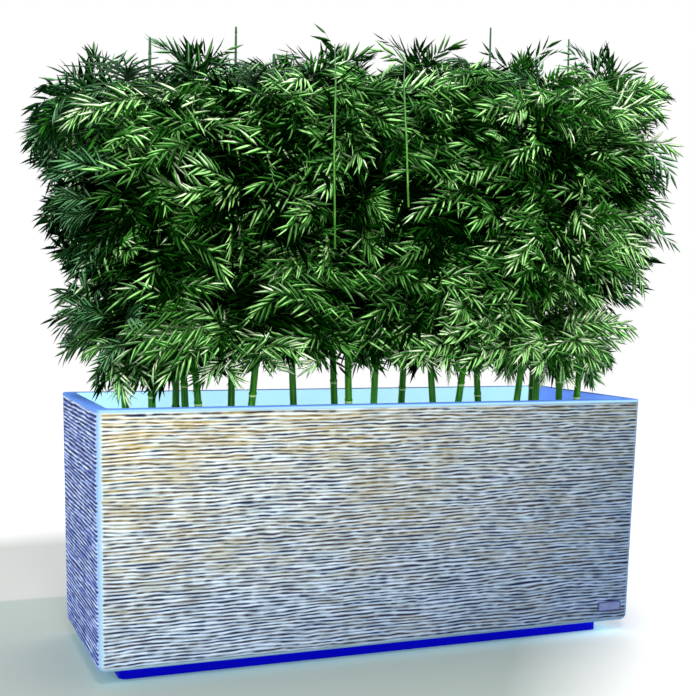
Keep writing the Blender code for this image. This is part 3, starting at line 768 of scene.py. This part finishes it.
crown = {
    "foot": 0.560,
    "split": 0.800,
    "shoulder": 1.040,
    "widest": 1.000,
    "halfLength": 0.670,
    "taper": (0.150, 0.450),    # how much shorter it is, and how far below its widest
    "farSides": (0.605, 0.625),     # how far the leaders' ribs reach, to the left and the right
    "halfDepth": 0.290,
    "footDepth": 0.255,
    "band": 0.072,
    "endFace": 0.410,
    "endLean": 0.150,
    "lowColumns": 4,
    "highColumns": 5,
    "topColumns": 5,
    "topRounding": 0.050,
    # how far the leaves reach to the left, the right and the sides, by height, and their underside
    # and top, by the place along the trough
    "leftAt": ((0.50, 0.535), (0.53, 0.560), (0.56, 0.580), (0.60, 0.600), (0.65, 0.612),
               (0.70, 0.626), (0.76, 0.618), (0.81, 0.622), (0.86, 0.630), (0.91, 0.622),
               (0.96, 0.645), (1.00, 0.658), (1.06, 0.692), (1.11, 0.700), (1.15, 0.684),
               (1.19, 0.636), (1.25, 0.520), (1.31, 0.30)),
    "rightAt": ((0.50, 0.510), (0.55, 0.540), (0.60, 0.575), (0.65, 0.605), (0.70, 0.622),
                (0.76, 0.640), (0.82, 0.662), (0.88, 0.678), (0.93, 0.688), (0.97, 0.692),
                (1.01, 0.682), (1.06, 0.696), (1.12, 0.704), (1.18, 0.702), (1.22, 0.694),
                (1.27, 0.650), (1.31, 0.50)),
    "depthAt": ((0.50, 0.17), (0.56, 0.22), (0.66, 0.26), (0.80, 0.278), (1.00, 0.286),
                (1.10, 0.270), (1.18, 0.22), (1.26, 0.16), (1.31, 0.10)),
    "corner": 6.0,           # how square the crown is, seen from above
    "footAt": ((-0.66, 0.535), (-0.58, 0.508), (-0.50, 0.504), (-0.43, 0.520), (-0.36, 0.550),
               (-0.28, 0.558), (-0.20, 0.588), (-0.10, 0.570), (0.0, 0.560), (0.08, 0.590),
               (0.15, 0.555), (0.22, 0.585), (0.32, 0.540), (0.40, 0.520), (0.50, 0.506),
               (0.58, 0.520), (0.64, 0.560), (0.68, 0.600)),
    "topAt": ((-0.69, 1.062), (-0.64, 1.106), (-0.57, 1.110), (-0.51, 1.110), (-0.45, 1.120),
              (-0.39, 1.136), (-0.32, 1.154), (-0.25, 1.160), (-0.19, 1.172), (-0.12, 1.182),
              (-0.05, 1.194), (0.02, 1.196), (0.09, 1.205), (0.16, 1.212), (0.24, 1.226),
              (0.31, 1.224), (0.39, 1.222), (0.47, 1.226), (0.55, 1.230), (0.61, 1.236),
              (0.66, 1.236), (0.69, 1.20)),
    "dip": (0.026, 0.090),   # how far the top sinks between the leaders, and over what distance
    # how much lower the top is in front and behind, and how far from the middle
    "dome": (0.050, 0.2),
}

growth = {
    "sprays": 46,            # all round a mass; those that face out of the crown grow
    "exposure": -0.10,
    "inner": (0.34, 0.08, 0.20),    # the share of sprays that stay in the depth: middle, ends, top
    "innerReach": (0.30, 0.80),     # how far they reach from a mass's centre, and the others
    "outerReach": (0.90, 1.20),
    "gather": 0.22,          # how far the sprays draw together at the rings of the culm
    "squareness": 0.66,
    "share": 0.85,
    "shareOut": 0.50,
    "drawnBack": 0.90,
    "goldenAngle": math.radians(137.5),
    "fan": (-1.98, 1.98, -1.68, 1.68, -1.34, 1.34),
    "outerShare": (0.62, 0.48),     # the share of these that an outer spray has: middle, ends
    "fanJitter": 0.30,
    "rootJitter": 0.012,
    "lobes": (-0.52, -0.31, -0.12, 0.385),     # the fronds point away from these, along the trough
    "lobeShare": 0.72,
    "frond": 0.168,
    "frondRange": (0.75, 1.15),
    "shortest": 0.050,
    "rootRoom": 0.012,       # how far inside the crown a frond starts
    "standOut": (0.08, 0.62),
    "endsOut": 1.1,          # how much further the sprays at the ends lean out
    "feetOut": 1.2,          # and those underneath
    "standUp": 1.10,
    "topFacing": 0.72,
    "twigRise": 0.60,
    "twigArch": 0.008,
    "stemLevel": 0.30,
    "margin": (-0.016, 0.040),
    "shorten": (9, 0.87),    # how many times a frond is drawn back at most, and how far each time
    "arch": (0.46, 0.74),    # the fronds of the masses, and of the leaders
    "bendOut": (0.40, 0.85), # the way a frond arches, out of the crown and up
    "faceOut": (0.85, 0.48), # how much its upper side turns out of the crown, and up
}

blade = {
    "perFrond": 15,
    "length": 0.047,
    "width": 0.145,
    "bareRib": 0.12,         # the share of a frond's rib before its first leaf
    "crowding": 0.95,
    "angle": (48.0, 21.0),   # between a leaf and the rib, at the frond's foot and its tip
    "angleJitter": 0.16,
    "sag": (-0.04, 0.22),
    "jitter": (0.09, 0.50),  # of a leaf's direction and of its upper side
    "swell": (0.84, 0.10, 0.58, 0.44),     # the leaves are longest half way up the frond
    "lengthRange": (0.80, 1.20),
    "onShort": (0.55, 0.20, 0.6),    # they are shorter on short fronds: from, over, and at least
    "ridge": 0.034,
    "sections": ((0.28, 0.50, -0.010), (0.64, 0.38, -0.060)),
    "tipDrop": -0.150,
    "broad": (1.18, 0.170),  # in the depth of the crown: times the length, and the width
    "broadest": 0.42,
    "beyond": 0.036,         # how far the last leaves stand past the end of a frond's rib
    "outside": -0.035,       # how far a leaf's tip may stand out of the crown
    "limits": (0.704, 0.298, 1.320),     # along, across and up
}

# tops of the leaders that rise out of the crown, each with a plume of upright and arching fronds
leaders = (
    (-0.541, 0.03, 1.151), (-0.350, 0.00, 1.173), (-0.142, 0.03, 1.140), (-0.062, 0.00, 1.203),
    (0.155, 0.03, 1.232), (0.386, 0.00, 1.228), (0.590, 0.00, 1.256), (-0.240, 0.05, 1.138),
)

plume = {
    "fronds": 17,
    "upright": 3,            # how many of them stand up as the leader's tip
    "rise": (86.0, 76.0, 58.0, 2.0),     # how steeply they stand: upright from and to, arching
    "ends": 0.5,             # leaders further out than this stand at the crown's ends,
    "endRise": (0.86, 0.62), # where they arch lower outwards, at the left and at the right
    "length": (0.080, 0.095, 0.135, 0.155),
    "lengthRange": (0.9, 1.1),
    "down": (0.078, 0.100, 0.098, 0.185),
    "flat": 0.62,            # how much they keep to the trough's length
    "faceUp": 0.4,
    "rootJitter": 0.006,
    "stemFoot": (0.96, 0.6, 1.02),   # times the top's place along and across, and its height
    "stemEnd": 0.045,        # how far below the top
    "leaves": 0.86,          # the share of leaves that stay, as a leader's fronds are thinner
}

# two thin pale shoots that climb over the front of the foliage
shoots = (
    ((-0.147, -0.25, 0.791), (-0.158, -0.266, 0.958), (-0.151, -0.25, 1.096),
     (-0.127, -0.18, 1.177)),
    ((-0.002, -0.252, 0.874), (-0.015, -0.266, 0.993), (-0.015, -0.25, 1.097),
     (0.013, -0.19, 1.161)),
)

wood = {                     # radii along them, and their bark: dark, mid and fresh
    "rib": (0.0010, 0.0008, 0.0004),
    "twig": (0.0022, 0.0017, 0.0011),
    "bough": (0.0034, 0.0032, 0.0028, 0.0022),
    "shoot": (0.0020, 0.0018, 0.0016, 0.0010),
    "bark": ((0.006, 0.030, 0.004), (0.022, 0.090, 0.012), (0.060, 0.180, 0.030)),
    "pale": ((0.030, 0.140, 0.012), (0.100, 0.340, 0.045), (0.240, 0.560, 0.110)),
}

# the shades of leaf from the depth of the crown out, painted shade darker inwards and painted light
# lighter outwards, and the one of its edge, a pale painted light: share of the fronds, colours of a
# leaf's lighter and darker half, roughness, specular, and whether its leaves are broad
shades = (
    ("leavesDeepest", 0.18, (0.001, 0.010, 0.0005), (0.0, 0.005, 0.0), 0.9, 0.0, True),
    ("leavesDeep", 0.15, (0.002, 0.026, 0.001), (0.001, 0.012, 0.0), 0.8, 0.01, True),
    ("leavesShade", 0.10, (0.010, 0.088, 0.004), (0.002, 0.024, 0.001), 0.6, 0.04, False),
    ("leavesMid", 0.13, (0.095, 0.300, 0.052), (0.003, 0.048, 0.002), 0.45, 0.16, False),
    ("leavesLit", 0.20, (0.420, 0.860, 0.270), (0.015, 0.140, 0.006), 0.42, 0.32, False),
    ("leavesHighlit", 0.17, (0.860, 1.000, 0.680), (0.045, 0.270, 0.022), 0.40, 0.40, False),
    ("leavesRimLit", 0.07, (0.150, 0.390, 0.160), (0.004, 0.045, 0.008), 0.45, 0.20, False),
)
# the shades that the leaders' fronds take: the upright ones (-1) and the arching ones (-2)
leaderShades = {
    -1.0: (0.0, 0.0, 0.50, 0.50, 0.0, 0.0, 0.0),
    -2.0: (0.0, 0.0, 0.12, 0.32, 0.14, 0.0, 0.42),
}

# painted light and shade: the lowest sprays and those at the right end count further out and take
# lighter shades, those in the depth darker ones
shading = {
    "low": (0.046, 0.76, 0.58),    # how much further out the lowest sprays count, over what heights
    "right": (0.067, 0.14, 0.56),  # and those at the right end, over what length
    "inner": 0.070,          # how much deeper those in the depth count
    "cluster": 0.080,        # how much sprays side by side have in common
    "clusterSize": 20,
    "jitter": 0.045,
    "edgeJitter": 0.06,
    "edgeTop": 0.93,
    "darkGloss": 0.35,       # of a leaf's darker half
}


def boxMass(name, across, deep, high, outward):
    low, high = np.sort(np.array((across, deep, high)), axis=1).T
    return {"name": name, "low": low, "high": high, "outward": np.array(outward, float)}


def crownMasses():
    masses = []
    tiers = (("low", crown["foot"], crown["split"], crown["footDepth"], crown["lowColumns"]),
             ("high", crown["split"], crown["shoulder"], crown["halfDepth"], crown["highColumns"]),
             ("top", crown["shoulder"], None, crown["halfDepth"], crown["topColumns"]))
    for tier, low, high, depth, columns in tiers:
        if high:
            inner = crown["endFace"] + crown["endLean"] * (low - crown["foot"])
            draw, span = crown["taper"]
            outer = crown["halfLength"] - draw * (max(0.0, crown["widest"] - high) / span) ** 2
        else:
            inner = crown["halfLength"] - crown["topRounding"]
        for row, way in (("front", -1), ("back", 1)):
            for column in range(columns):
                left, right = [inner * (2 * edge / columns - 1) for edge in (column, column + 1)]
                masses.append(boxMass(f"{row}_{tier}_{column + 1}", (left, right),
                                      (way * crown["band"] if high else 0, way * depth),
                                      (low, high or crownTop(right)), (0, way, 0 if high else 1)))
            for end, side in (("left", -1), ("right", 1)) if high else ():
                masses.append(boxMass(f"{row}_{tier}_{end}", (side * inner, side * outer),
                                      (0, way * depth), (low, high), (side, way, 0)))
    return masses


def jitter(rng, amount, size):
    return rng.uniform(-amount, amount, size)


def unit(vectors):
    return vectors / np.maximum(np.linalg.norm(vectors, axis=-1, keepdims=True), 1e-9)


def readOff(name, value):
    places, values = zip(*crown[name])
    return np.interp(value, places, values)


def reachAt(points):
    # how far the crown reaches at the points: along the trough, across it and up
    x, z = points[..., 0], points[..., 2]
    length = np.where(x < 0, readOff("leftAt", z), readOff("rightAt", z))
    return length, readOff("depthAt", z), readOff("topAt", x)


def roomAt(points):
    # how far points are inside the crown's outline, less than nothing outside it
    x, y, z = points[..., 0], points[..., 1], points[..., 2]
    length, depth, top = reachAt(points)
    size = (np.abs(x) / length) ** crown["corner"] + (np.abs(y) / depth) ** crown["corner"]
    sides = (1 - size ** (1 / crown["corner"])) * depth
    gap = np.abs(x[..., None] - np.array(leaders)[:, 0]).min(axis=-1)
    top = top - crown["dip"][0] * smoothed(gap / crown["dip"][1])
    top = top - crown["dome"][0] * (np.abs(y) / crown["dome"][1]) ** 1.5 - z
    return np.minimum.reduce([sides, top, z - readOff("footAt", x)])


def shortened(root, heading, length, margin):
    # draws a frond back until the last leaves are inside the crown's outline
    attempts, factor = growth["shorten"]
    for attempt in range(attempts):
        outside = roomAt(root + heading * (length + blade["beyond"])[:, None]) < margin
        length = np.where(outside, length * factor, length)
    return length


def heartOf(mass):
    # the centre and half the size of the body that a mass's sprays stand round
    half = (mass["high"] - mass["low"]) / 2
    core = half * np.where(mass["outward"] != 0, growth["shareOut"], growth["share"])
    middle = (mass["low"] + mass["high"]) / 2
    return middle - mass["outward"] * (half - core) * growth["drawnBack"], core


def growMass(mass, rings, seed):
    # the source's rule: a bough from the nearest culm, with twigs that turn by the golden angle
    rng = np.random.default_rng(seed)
    centre, core = heartOf(mass)
    atEnd, atTop = [int(mass["outward"][axis] != 0) for axis in (0, 2)]
    number = np.arange(growth["sprays"])
    height = 1 - 2 * (number + 0.5) / growth["sprays"]
    level = np.sqrt(1 - height ** 2)
    turn = rng.uniform(0, 2 * math.pi) + growth["goldenAngle"] * number
    ball = np.stack([np.cos(turn) * level, np.sin(turn) * level, height], axis=1)
    reach = np.sign(ball) * np.abs(ball) ** growth["squareness"] * core
    out = unit(ball / core)
    facing = (mass["outward"] * out).max(axis=1) > growth["exposure"]
    reach, out = reach[facing], out[facing]
    size = len(out)
    inner = rng.random(size) < growth["inner"][1 if atEnd else 2 * atTop]
    near, far = [rng.uniform(*growth[name], size) for name in ("innerReach", "outerReach")]
    surface = centre + reach * np.where(inner, near, far)[:, None]
    ring = rings[np.abs(surface[:, 2:3] - rings).argmin(axis=1)]
    surface[:, 2] += (ring - surface[:, 2]) * growth["gather"]
    start = centre + reach * (0.0, 0.0, growth["twigRise"])
    down = np.array([0.0, 0.0, -1.0]) + out * out[:, 2:3]
    upward = out[:, 2] > growth["topFacing"]
    loose = np.stack([jitter(rng, 1, size), jitter(rng, 1, size), np.zeros(size)], axis=1)
    loose += out * np.array([1.0, 1.0, 0.0])
    down = unit(np.where(upward[:, None], loose, down))
    across = unit(np.cross(out, down))
    away = surface[:, 0] - np.array(growth["lobes"])[:, None]
    away = np.sign(away[np.abs(away).argmin(axis=0), np.arange(size)])
    fronds = []
    for base in growth["fan"]:
        angle = base + jitter(rng, growth["fanJitter"], size)
        wrong = (np.sign(across[:, 0] * base) != away) & (rng.random(size) < growth["lobeShare"])
        angle = np.where(wrong, -angle, angle)
        lift = rng.uniform(*growth["standOut"], size) + growth["endsOut"] * out[:, 0] ** 2
        lift += growth["feetOut"] * np.minimum(out[:, 2], 0) ** 2
        lift = np.where(upward, growth["standUp"], lift)[:, None]
        heading = unit(down * np.cos(angle)[:, None] + across * np.sin(angle)[:, None] + out * lift)
        root = surface + jitter(rng, growth["rootJitter"], (size, 3))
        length = growth["frond"] * rng.uniform(*growth["frondRange"], size)
        length = shortened(root, heading, length, rng.uniform(*growth["margin"], size))
        good = (length > growth["shortest"]) & (roomAt(root) > growth["rootRoom"])
        good &= inner | (rng.random(size) < growth["outerShare"][atEnd])
        fronds.append([part[good] for part in (root, heading, out, length, surface, inner * 1.0)])
    middle = (start + surface) / 2 + np.array([0.0, 0.0, growth["twigArch"]])
    return joined(fronds), np.stack([start, middle, surface], axis=1)


def joined(fronds):
    # root, heading, outward side, length, spray and depth, each of all the fronds in one array
    return [np.concatenate(parts) for parts in zip(*fronds)]


def growLeader(peak, seed):
    rng = np.random.default_rng(seed)
    count, upright = plume["fronds"], plume["upright"]
    number = np.arange(count)
    turn = rng.uniform(0, 2 * math.pi) + growth["goldenAngle"] * number

    def along(name):           # first for the upright fronds, then for the arching ones
        return np.where(number < upright, np.interp(number, (0, upright - 1), plume[name][:2]),
                        np.interp(number, (upright, count - 1), plume[name][2:]))

    outward = (np.cos(turn) * peak[0] > 0) & (abs(peak[0]) > plume["ends"]) & (number >= upright)
    rise = np.radians(along("rise")) * np.where(outward, plume["endRise"][int(peak[0] > 0)], 1.0)
    level = np.cos(rise)
    across = plume["flat"] * np.sin(turn) * level
    heading = unit(np.stack([np.cos(turn) * level, across, np.sin(rise)], axis=1))
    out = unit(np.stack([np.cos(turn), np.sin(turn), 0 * turn + plume["faceUp"]], axis=1))
    root = np.array(peak) - np.array([0.0, 0.0, 1.0]) * along("down")[:, None]
    root = root + jitter(rng, plume["rootJitter"], root.shape)
    length = along("length") * rng.uniform(*plume["lengthRange"], count)
    left, right = crown["farSides"]
    side = np.where(heading[:, 0] > 0, right - root[:, 0], left + root[:, 0])
    length = np.minimum(length, side / np.maximum(np.abs(heading[:, 0]), 0.01))
    return root, heading, out, length, root.copy(), np.where(number < upright, -1.0, -2.0)


def nearestStem(mass, centre):
    level = mass["low"][2] + growth["stemLevel"] * (mass["high"][2] - mass["low"][2])
    found = []
    for number, stem in enumerate(stems):
        start = culmPoint(stem, min(level, culmTip(stem) - 0.004))
        found.append(((start - Vector(centre)).length, number, tuple(start)))
    return min(found)[1:]


def tubes(points, radii, sides=3):
    # closed tapering tubes along rows of points, all with the same number of points
    count, steps = points.shape[:2]
    tangent = unit(np.gradient(points, axis=1))
    helper = np.where(np.abs(tangent[..., 2:3]) > 0.9, (1.0, 0.0, 0.0), (0.0, 0.0, 1.0))
    first = unit(np.cross(tangent, helper))[:, :, None]
    second = np.cross(tangent, first[:, :, 0])[:, :, None]
    turn = (2 * math.pi * np.arange(sides) / sides)[:, None]
    ring = first * np.cos(turn) + second * np.sin(turn)
    verts = points[:, :, None] + ring * np.array(radii)[:, None, None]
    faces = []
    for step in range(steps - 1):
        for side in range(sides):
            a, b = step * sides + side, step * sides + (side + 1) % sides
            faces += [(a, b, b + sides), (a, b + sides, a + sides)]
    last = (steps - 1) * sides
    for side in range(1, sides - 1):
        faces += [(0, side + 1, side), (last, last + side, last + side + 1)]
    return repeated(verts.reshape(count, -1, 3), faces)


def repeated(verts, faces):
    # one list of vertices and one of faces, for a shape that is there many times
    whole = np.array(faces)[None] + (np.arange(len(verts)) * verts.shape[1])[:, None, None]
    return verts.reshape(-1, 3), whole.reshape(-1, 3)


def joinedMesh(name, verts, faces, materials, halves=None):
    mesh = bpy.data.meshes.new(name)
    mesh.vertices.add(len(verts))
    mesh.vertices.foreach_set("co", verts.astype(np.float32).ravel())
    mesh.loops.add(len(faces) * 3)
    mesh.loops.foreach_set("vertex_index", faces.astype(np.int32).ravel())
    mesh.polygons.add(len(faces))
    mesh.polygons.foreach_set("loop_start", np.arange(0, len(faces) * 3, 3, dtype=np.int32))
    if halves is not None:
        mesh.polygons.foreach_set("material_index", halves)
    mesh.update(calc_edges=True)
    mesh.validate()
    piece = addObject(name, mesh, materials)
    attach(piece, "root")
    print(name, len(faces), "triangles")
    return piece


def ribLine(root, heading, out, length, arch, share):
    # the arching rib of a frond, with the direction and the upper side along it
    rise, upper = [unit(way - heading * (way * heading).sum(axis=1, keepdims=True)) for way in
                   (out * outward + np.array([0.0, 0.0, upward]) for outward, upward in
                    (growth["bendOut"], growth["faceOut"]))]
    root, heading, rise = root[:, None], heading[:, None], rise[:, None]
    bend = (arch * length)[:, None] * (share - share ** 2)
    place = root + heading * (length[:, None] * share)[..., None] + rise * bend[..., None]
    tangent = unit(heading + rise * (arch[:, None] * (1 - 2 * share))[..., None])
    return place, tangent, upper


def leavesOf(root, heading, out, length, arch, rng):
    # leaves in two ranks along each frond and one at its tip
    number = np.arange(blade["perFrond"])
    last = blade["perFrond"] - 1
    share = blade["bareRib"] + (1 - blade["bareRib"]) * (number / last) ** blade["crowding"]
    share = np.broadcast_to(share, (len(root), len(number)))
    place, tangent, upper = ribLine(root, heading, out, length, arch, share)
    side = unit(np.cross(upper[:, None], tangent))
    angle = np.radians(np.interp(share, (0, 1), blade["angle"]))
    angle = angle + jitter(rng, blade["angleJitter"], share.shape)
    angle = np.where(number == last, 0.0, angle)
    sign = np.where(number % 2 == 0, 1.0, -1.0)[None]
    turned = tangent * np.cos(angle)[..., None] + side * (np.sin(angle) * sign)[..., None]
    lower = turned[..., 2] < tangent[..., 2]
    sag = np.array([0.0, 0.0, -1.0]) * rng.uniform(*blade["sag"], share.shape)[..., None]
    wayJitter, faceJitter = blade["jitter"]
    way = unit(turned + sag + jitter(rng, wayJitter, turned.shape))
    face = unit(upper[:, None] + jitter(rng, faceJitter, turned.shape))
    stretch, shift, least, more = blade["swell"]
    span = np.sin(math.pi * np.clip(share * stretch + shift, 0, 1)) ** 0.5
    size = blade["length"] * (least + more * span) * rng.uniform(*blade["lengthRange"], share.shape)
    begin, over, smallest = blade["onShort"]
    size *= np.clip(begin + length[:, None] / over, smallest, 1.0)
    return [part.reshape(-1, *part.shape[2:]) for part in (place, way, face, size, lower)]


def leafBlades(place, way, face, length, broad):
    # each leaf's upper half takes the lighter of the piece's two shades and the other half the
    # darker: painted light and shade
    wide = unit(np.cross(face, way))
    up = np.cross(way, wide)
    ridge, size = blade["ridge"], 1.0
    flat = [(0.0, 0.0, 0.0)]
    if broad:                  # few faces will do in the dark
        size, width = blade["broad"]
        middle = blade["broadest"]
        flat += [(middle, width / 2, 0.0), (middle, -width / 2, 0.0), (middle, 0.0, ridge)]
        left, right, under = [(0, 3, 1), (1, 3, 4)], [(0, 2, 3), (3, 2, 4)], [(0, 1, 2), (2, 1, 4)]
    else:
        for position, half, drop in blade["sections"]:
            half = half * blade["width"]
            flat += [(position, half, drop), (position, -half, drop), (position, 0.0, drop + ridge)]
        left = [(0, 3, 1), (1, 3, 6), (1, 6, 4), (4, 6, 7)]
        right = [(0, 2, 3), (3, 2, 5), (3, 5, 6), (6, 5, 7)]
        under = [(0, 1, 2), (2, 1, 4), (2, 4, 5), (5, 4, 7)]
    flat = np.array(flat + [(1.0, 0.0, blade["tipDrop"])]) * size
    turned = flat[None] @ np.stack([way, wide, up], axis=1)
    verts = place[:, None] + length[:, None, None] * turned
    faces = left + right + under
    leftUp = wide[:, 2] > 0
    dark = np.ones((len(place), len(faces)), np.int32)
    dark[leftUp, :len(left)] = 0
    dark[~leftUp, len(left):2 * len(left)] = 0
    return *repeated(verts, faces), dark.ravel()


def leafSkin(name, colour, roughness, specular):
    material, tree, shader = newMaterial(name, roughness, specular)
    cells = noise(tree, 45.0, 2.0, 0.5)
    veins = noise(tree, 240.0, 2.0, 0.5)
    darker, lighter = [tuple(factor * part for part in colour) for factor in (0.60, 1.35)]
    tint = mixed(tree, spread(tree, cells, 0.36, 0.66), darker, lighter)
    tint = mixed(tree, spread(tree, veins, 0.35, 0.70, 0.0, 0.40), tint, darker)
    fill(tree, shader, {"Base Color": tint})
    return material


def growCrown():
    fronds, twigs, boughs, names = [], [], [], []
    for seed, mass in enumerate(crownMasses()):
        centre = heartOf(mass)[0]
        number, foot = nearestStem(mass, centre)
        parts, lines = growMass(mass, ringsOf(number), seed + 1)
        fronds.append(parts)
        twigs.append(lines)
        boughs.append(np.linspace(foot, centre, 4))
        names.append(mass["name"])
    for seed, peak in enumerate(leaders):
        fronds.append(growLeader(peak, seed + 201))
        along, across, height = plume["stemFoot"]
        foot = (peak[0] * along, peak[1] * across, height)
        boughs.append(np.linspace(foot, np.array(peak) - (0.0, 0.0, plume["stemEnd"]), 4))
    return joined(fronds), np.concatenate(twigs), np.stack(boughs), names


def shadeFronds(root, heading, length, spray, depth, rng):
    # painted shade and light: the deeper its spray lies, the darker a frond's shade; the crown's
    # edge has a pale painted light, and the leaders have others
    def brightened(name, value):
        amount, start, end = shading[name]
        return amount * smoothed((value - start) / (end - start))

    x, y, z = spray.T
    reach, deep, top = reachAt(spray)
    room = np.minimum.reduce([reach - np.abs(x), deep - np.abs(y), top - z])
    size = shading["clusterSize"]
    cluster = softNoise(x * size + 50, z * size + 50 + y * 7, 81)
    room = room - brightened("low", z) - brightened("right", x)
    order = room + shading["cluster"] * (0.5 - cluster) + shading["inner"] * np.maximum(depth, 0)
    order = order + jitter(rng, shading["jitter"], len(room))
    middle = root + heading * (length * 0.6)[:, None]
    rise = (middle[:, 2] - crown["foot"]) / (top - crown["foot"])
    # painted light: fronds near the crown's ends and top take the pale edge shade
    edge = np.maximum(np.abs(middle[:, 0]) / reach, shading["edgeTop"] * rise)
    edge = edge + jitter(rng, shading["edgeJitter"], len(edge))
    shares = np.array([shade[1] for shade in shades])
    rim = edge > np.quantile(edge, 1 - shares[-1])
    rank = np.argsort(np.argsort(np.where(rim, -9.0, -order))) / len(order)
    rank = (rank - rim.mean()) / (1 - rim.mean())
    bounds = np.cumsum(shares[:-1] / shares[:-1].sum())[:-1]
    shadeOf = np.where(rim, len(shades) - 1, np.searchsorted(bounds, rank, side="right"))
    for kind, portions in leaderShades.items():
        shadeOf = np.where(depth == kind, rng.choice(len(shades), len(root), p=portions), shadeOf)
    return shadeOf


def makeFoliage():
    rng = np.random.default_rng(71)
    (root, heading, out, length, spray, depth), twigs, boughs, names = growCrown()
    shadeOf = shadeFronds(root, heading, length, spray, depth, rng)
    print(len(root), "fronds,", np.bincount(shadeOf))
    arch = np.where(depth < 0, growth["arch"][1], growth["arch"][0])
    *leaves, lower = leavesOf(root, heading, out, length, arch, rng)
    tip = leaves[0] + leaves[1] * leaves[3][:, None]
    ofLeader, leafShade = [np.repeat(values, blade["perFrond"]) for values in (depth < 0, shadeOf)]
    fits = ofLeader | (roomAt(tip) > blade["outside"])
    fits &= (np.abs(tip) < blade["limits"]).all(axis=1)
    fits &= ~ofLeader | (rng.random(len(tip)) < plume["leaves"])
    # painted shade: leaves of a frond's lower rank take the next darker shade
    leafShade = leafShade - (lower & (leafShade > 0) & (leafShade < len(shades) - 1))
    pieces = []
    for number, (name, share, lighter, darker, roughness, specular, broad) in enumerate(shades):
        chosen = (leafShade == number) & fits
        verts, faces, halves = leafBlades(*[part[chosen] for part in leaves], broad)
        # painted light and shade: a lit material for each leaf's upward half and a shaded one for
        # the other
        skins = (leafSkin(name + "Light", lighter, roughness, specular),
                 leafSkin(name + "Dark", darker, roughness, shading["darkGloss"] * specular))
        pieces.append(joinedMesh(name, verts, faces, skins, halves))
    share = np.broadcast_to((0.0, 0.5, 1.0), (len(root), 3))
    ribs = ribLine(root, heading, out, length, arch, share)[0]
    verts, faces = tubes(twigs, wood["twig"])
    boughVerts, boughFaces = tubes(boughs, wood["bough"], 6)
    faces = np.concatenate([faces, boughFaces + len(verts)])
    verts = np.concatenate([verts, boughVerts])
    bark, pale = bambooSkin("twigSkin", *wood["bark"]), bambooSkin("shootSkin", *wood["pale"])
    pieces += [joinedMesh("frondRibs", *tubes(ribs, wood["rib"]), [bark]),
               joinedMesh("twigs", verts, faces, [bark]),
               joinedMesh("paleShoots", *tubes(np.array(shoots), wood["shoot"], 6), [pale])]
    for piece in pieces:
        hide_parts(*names)


makeFoliage()
print("crown made")
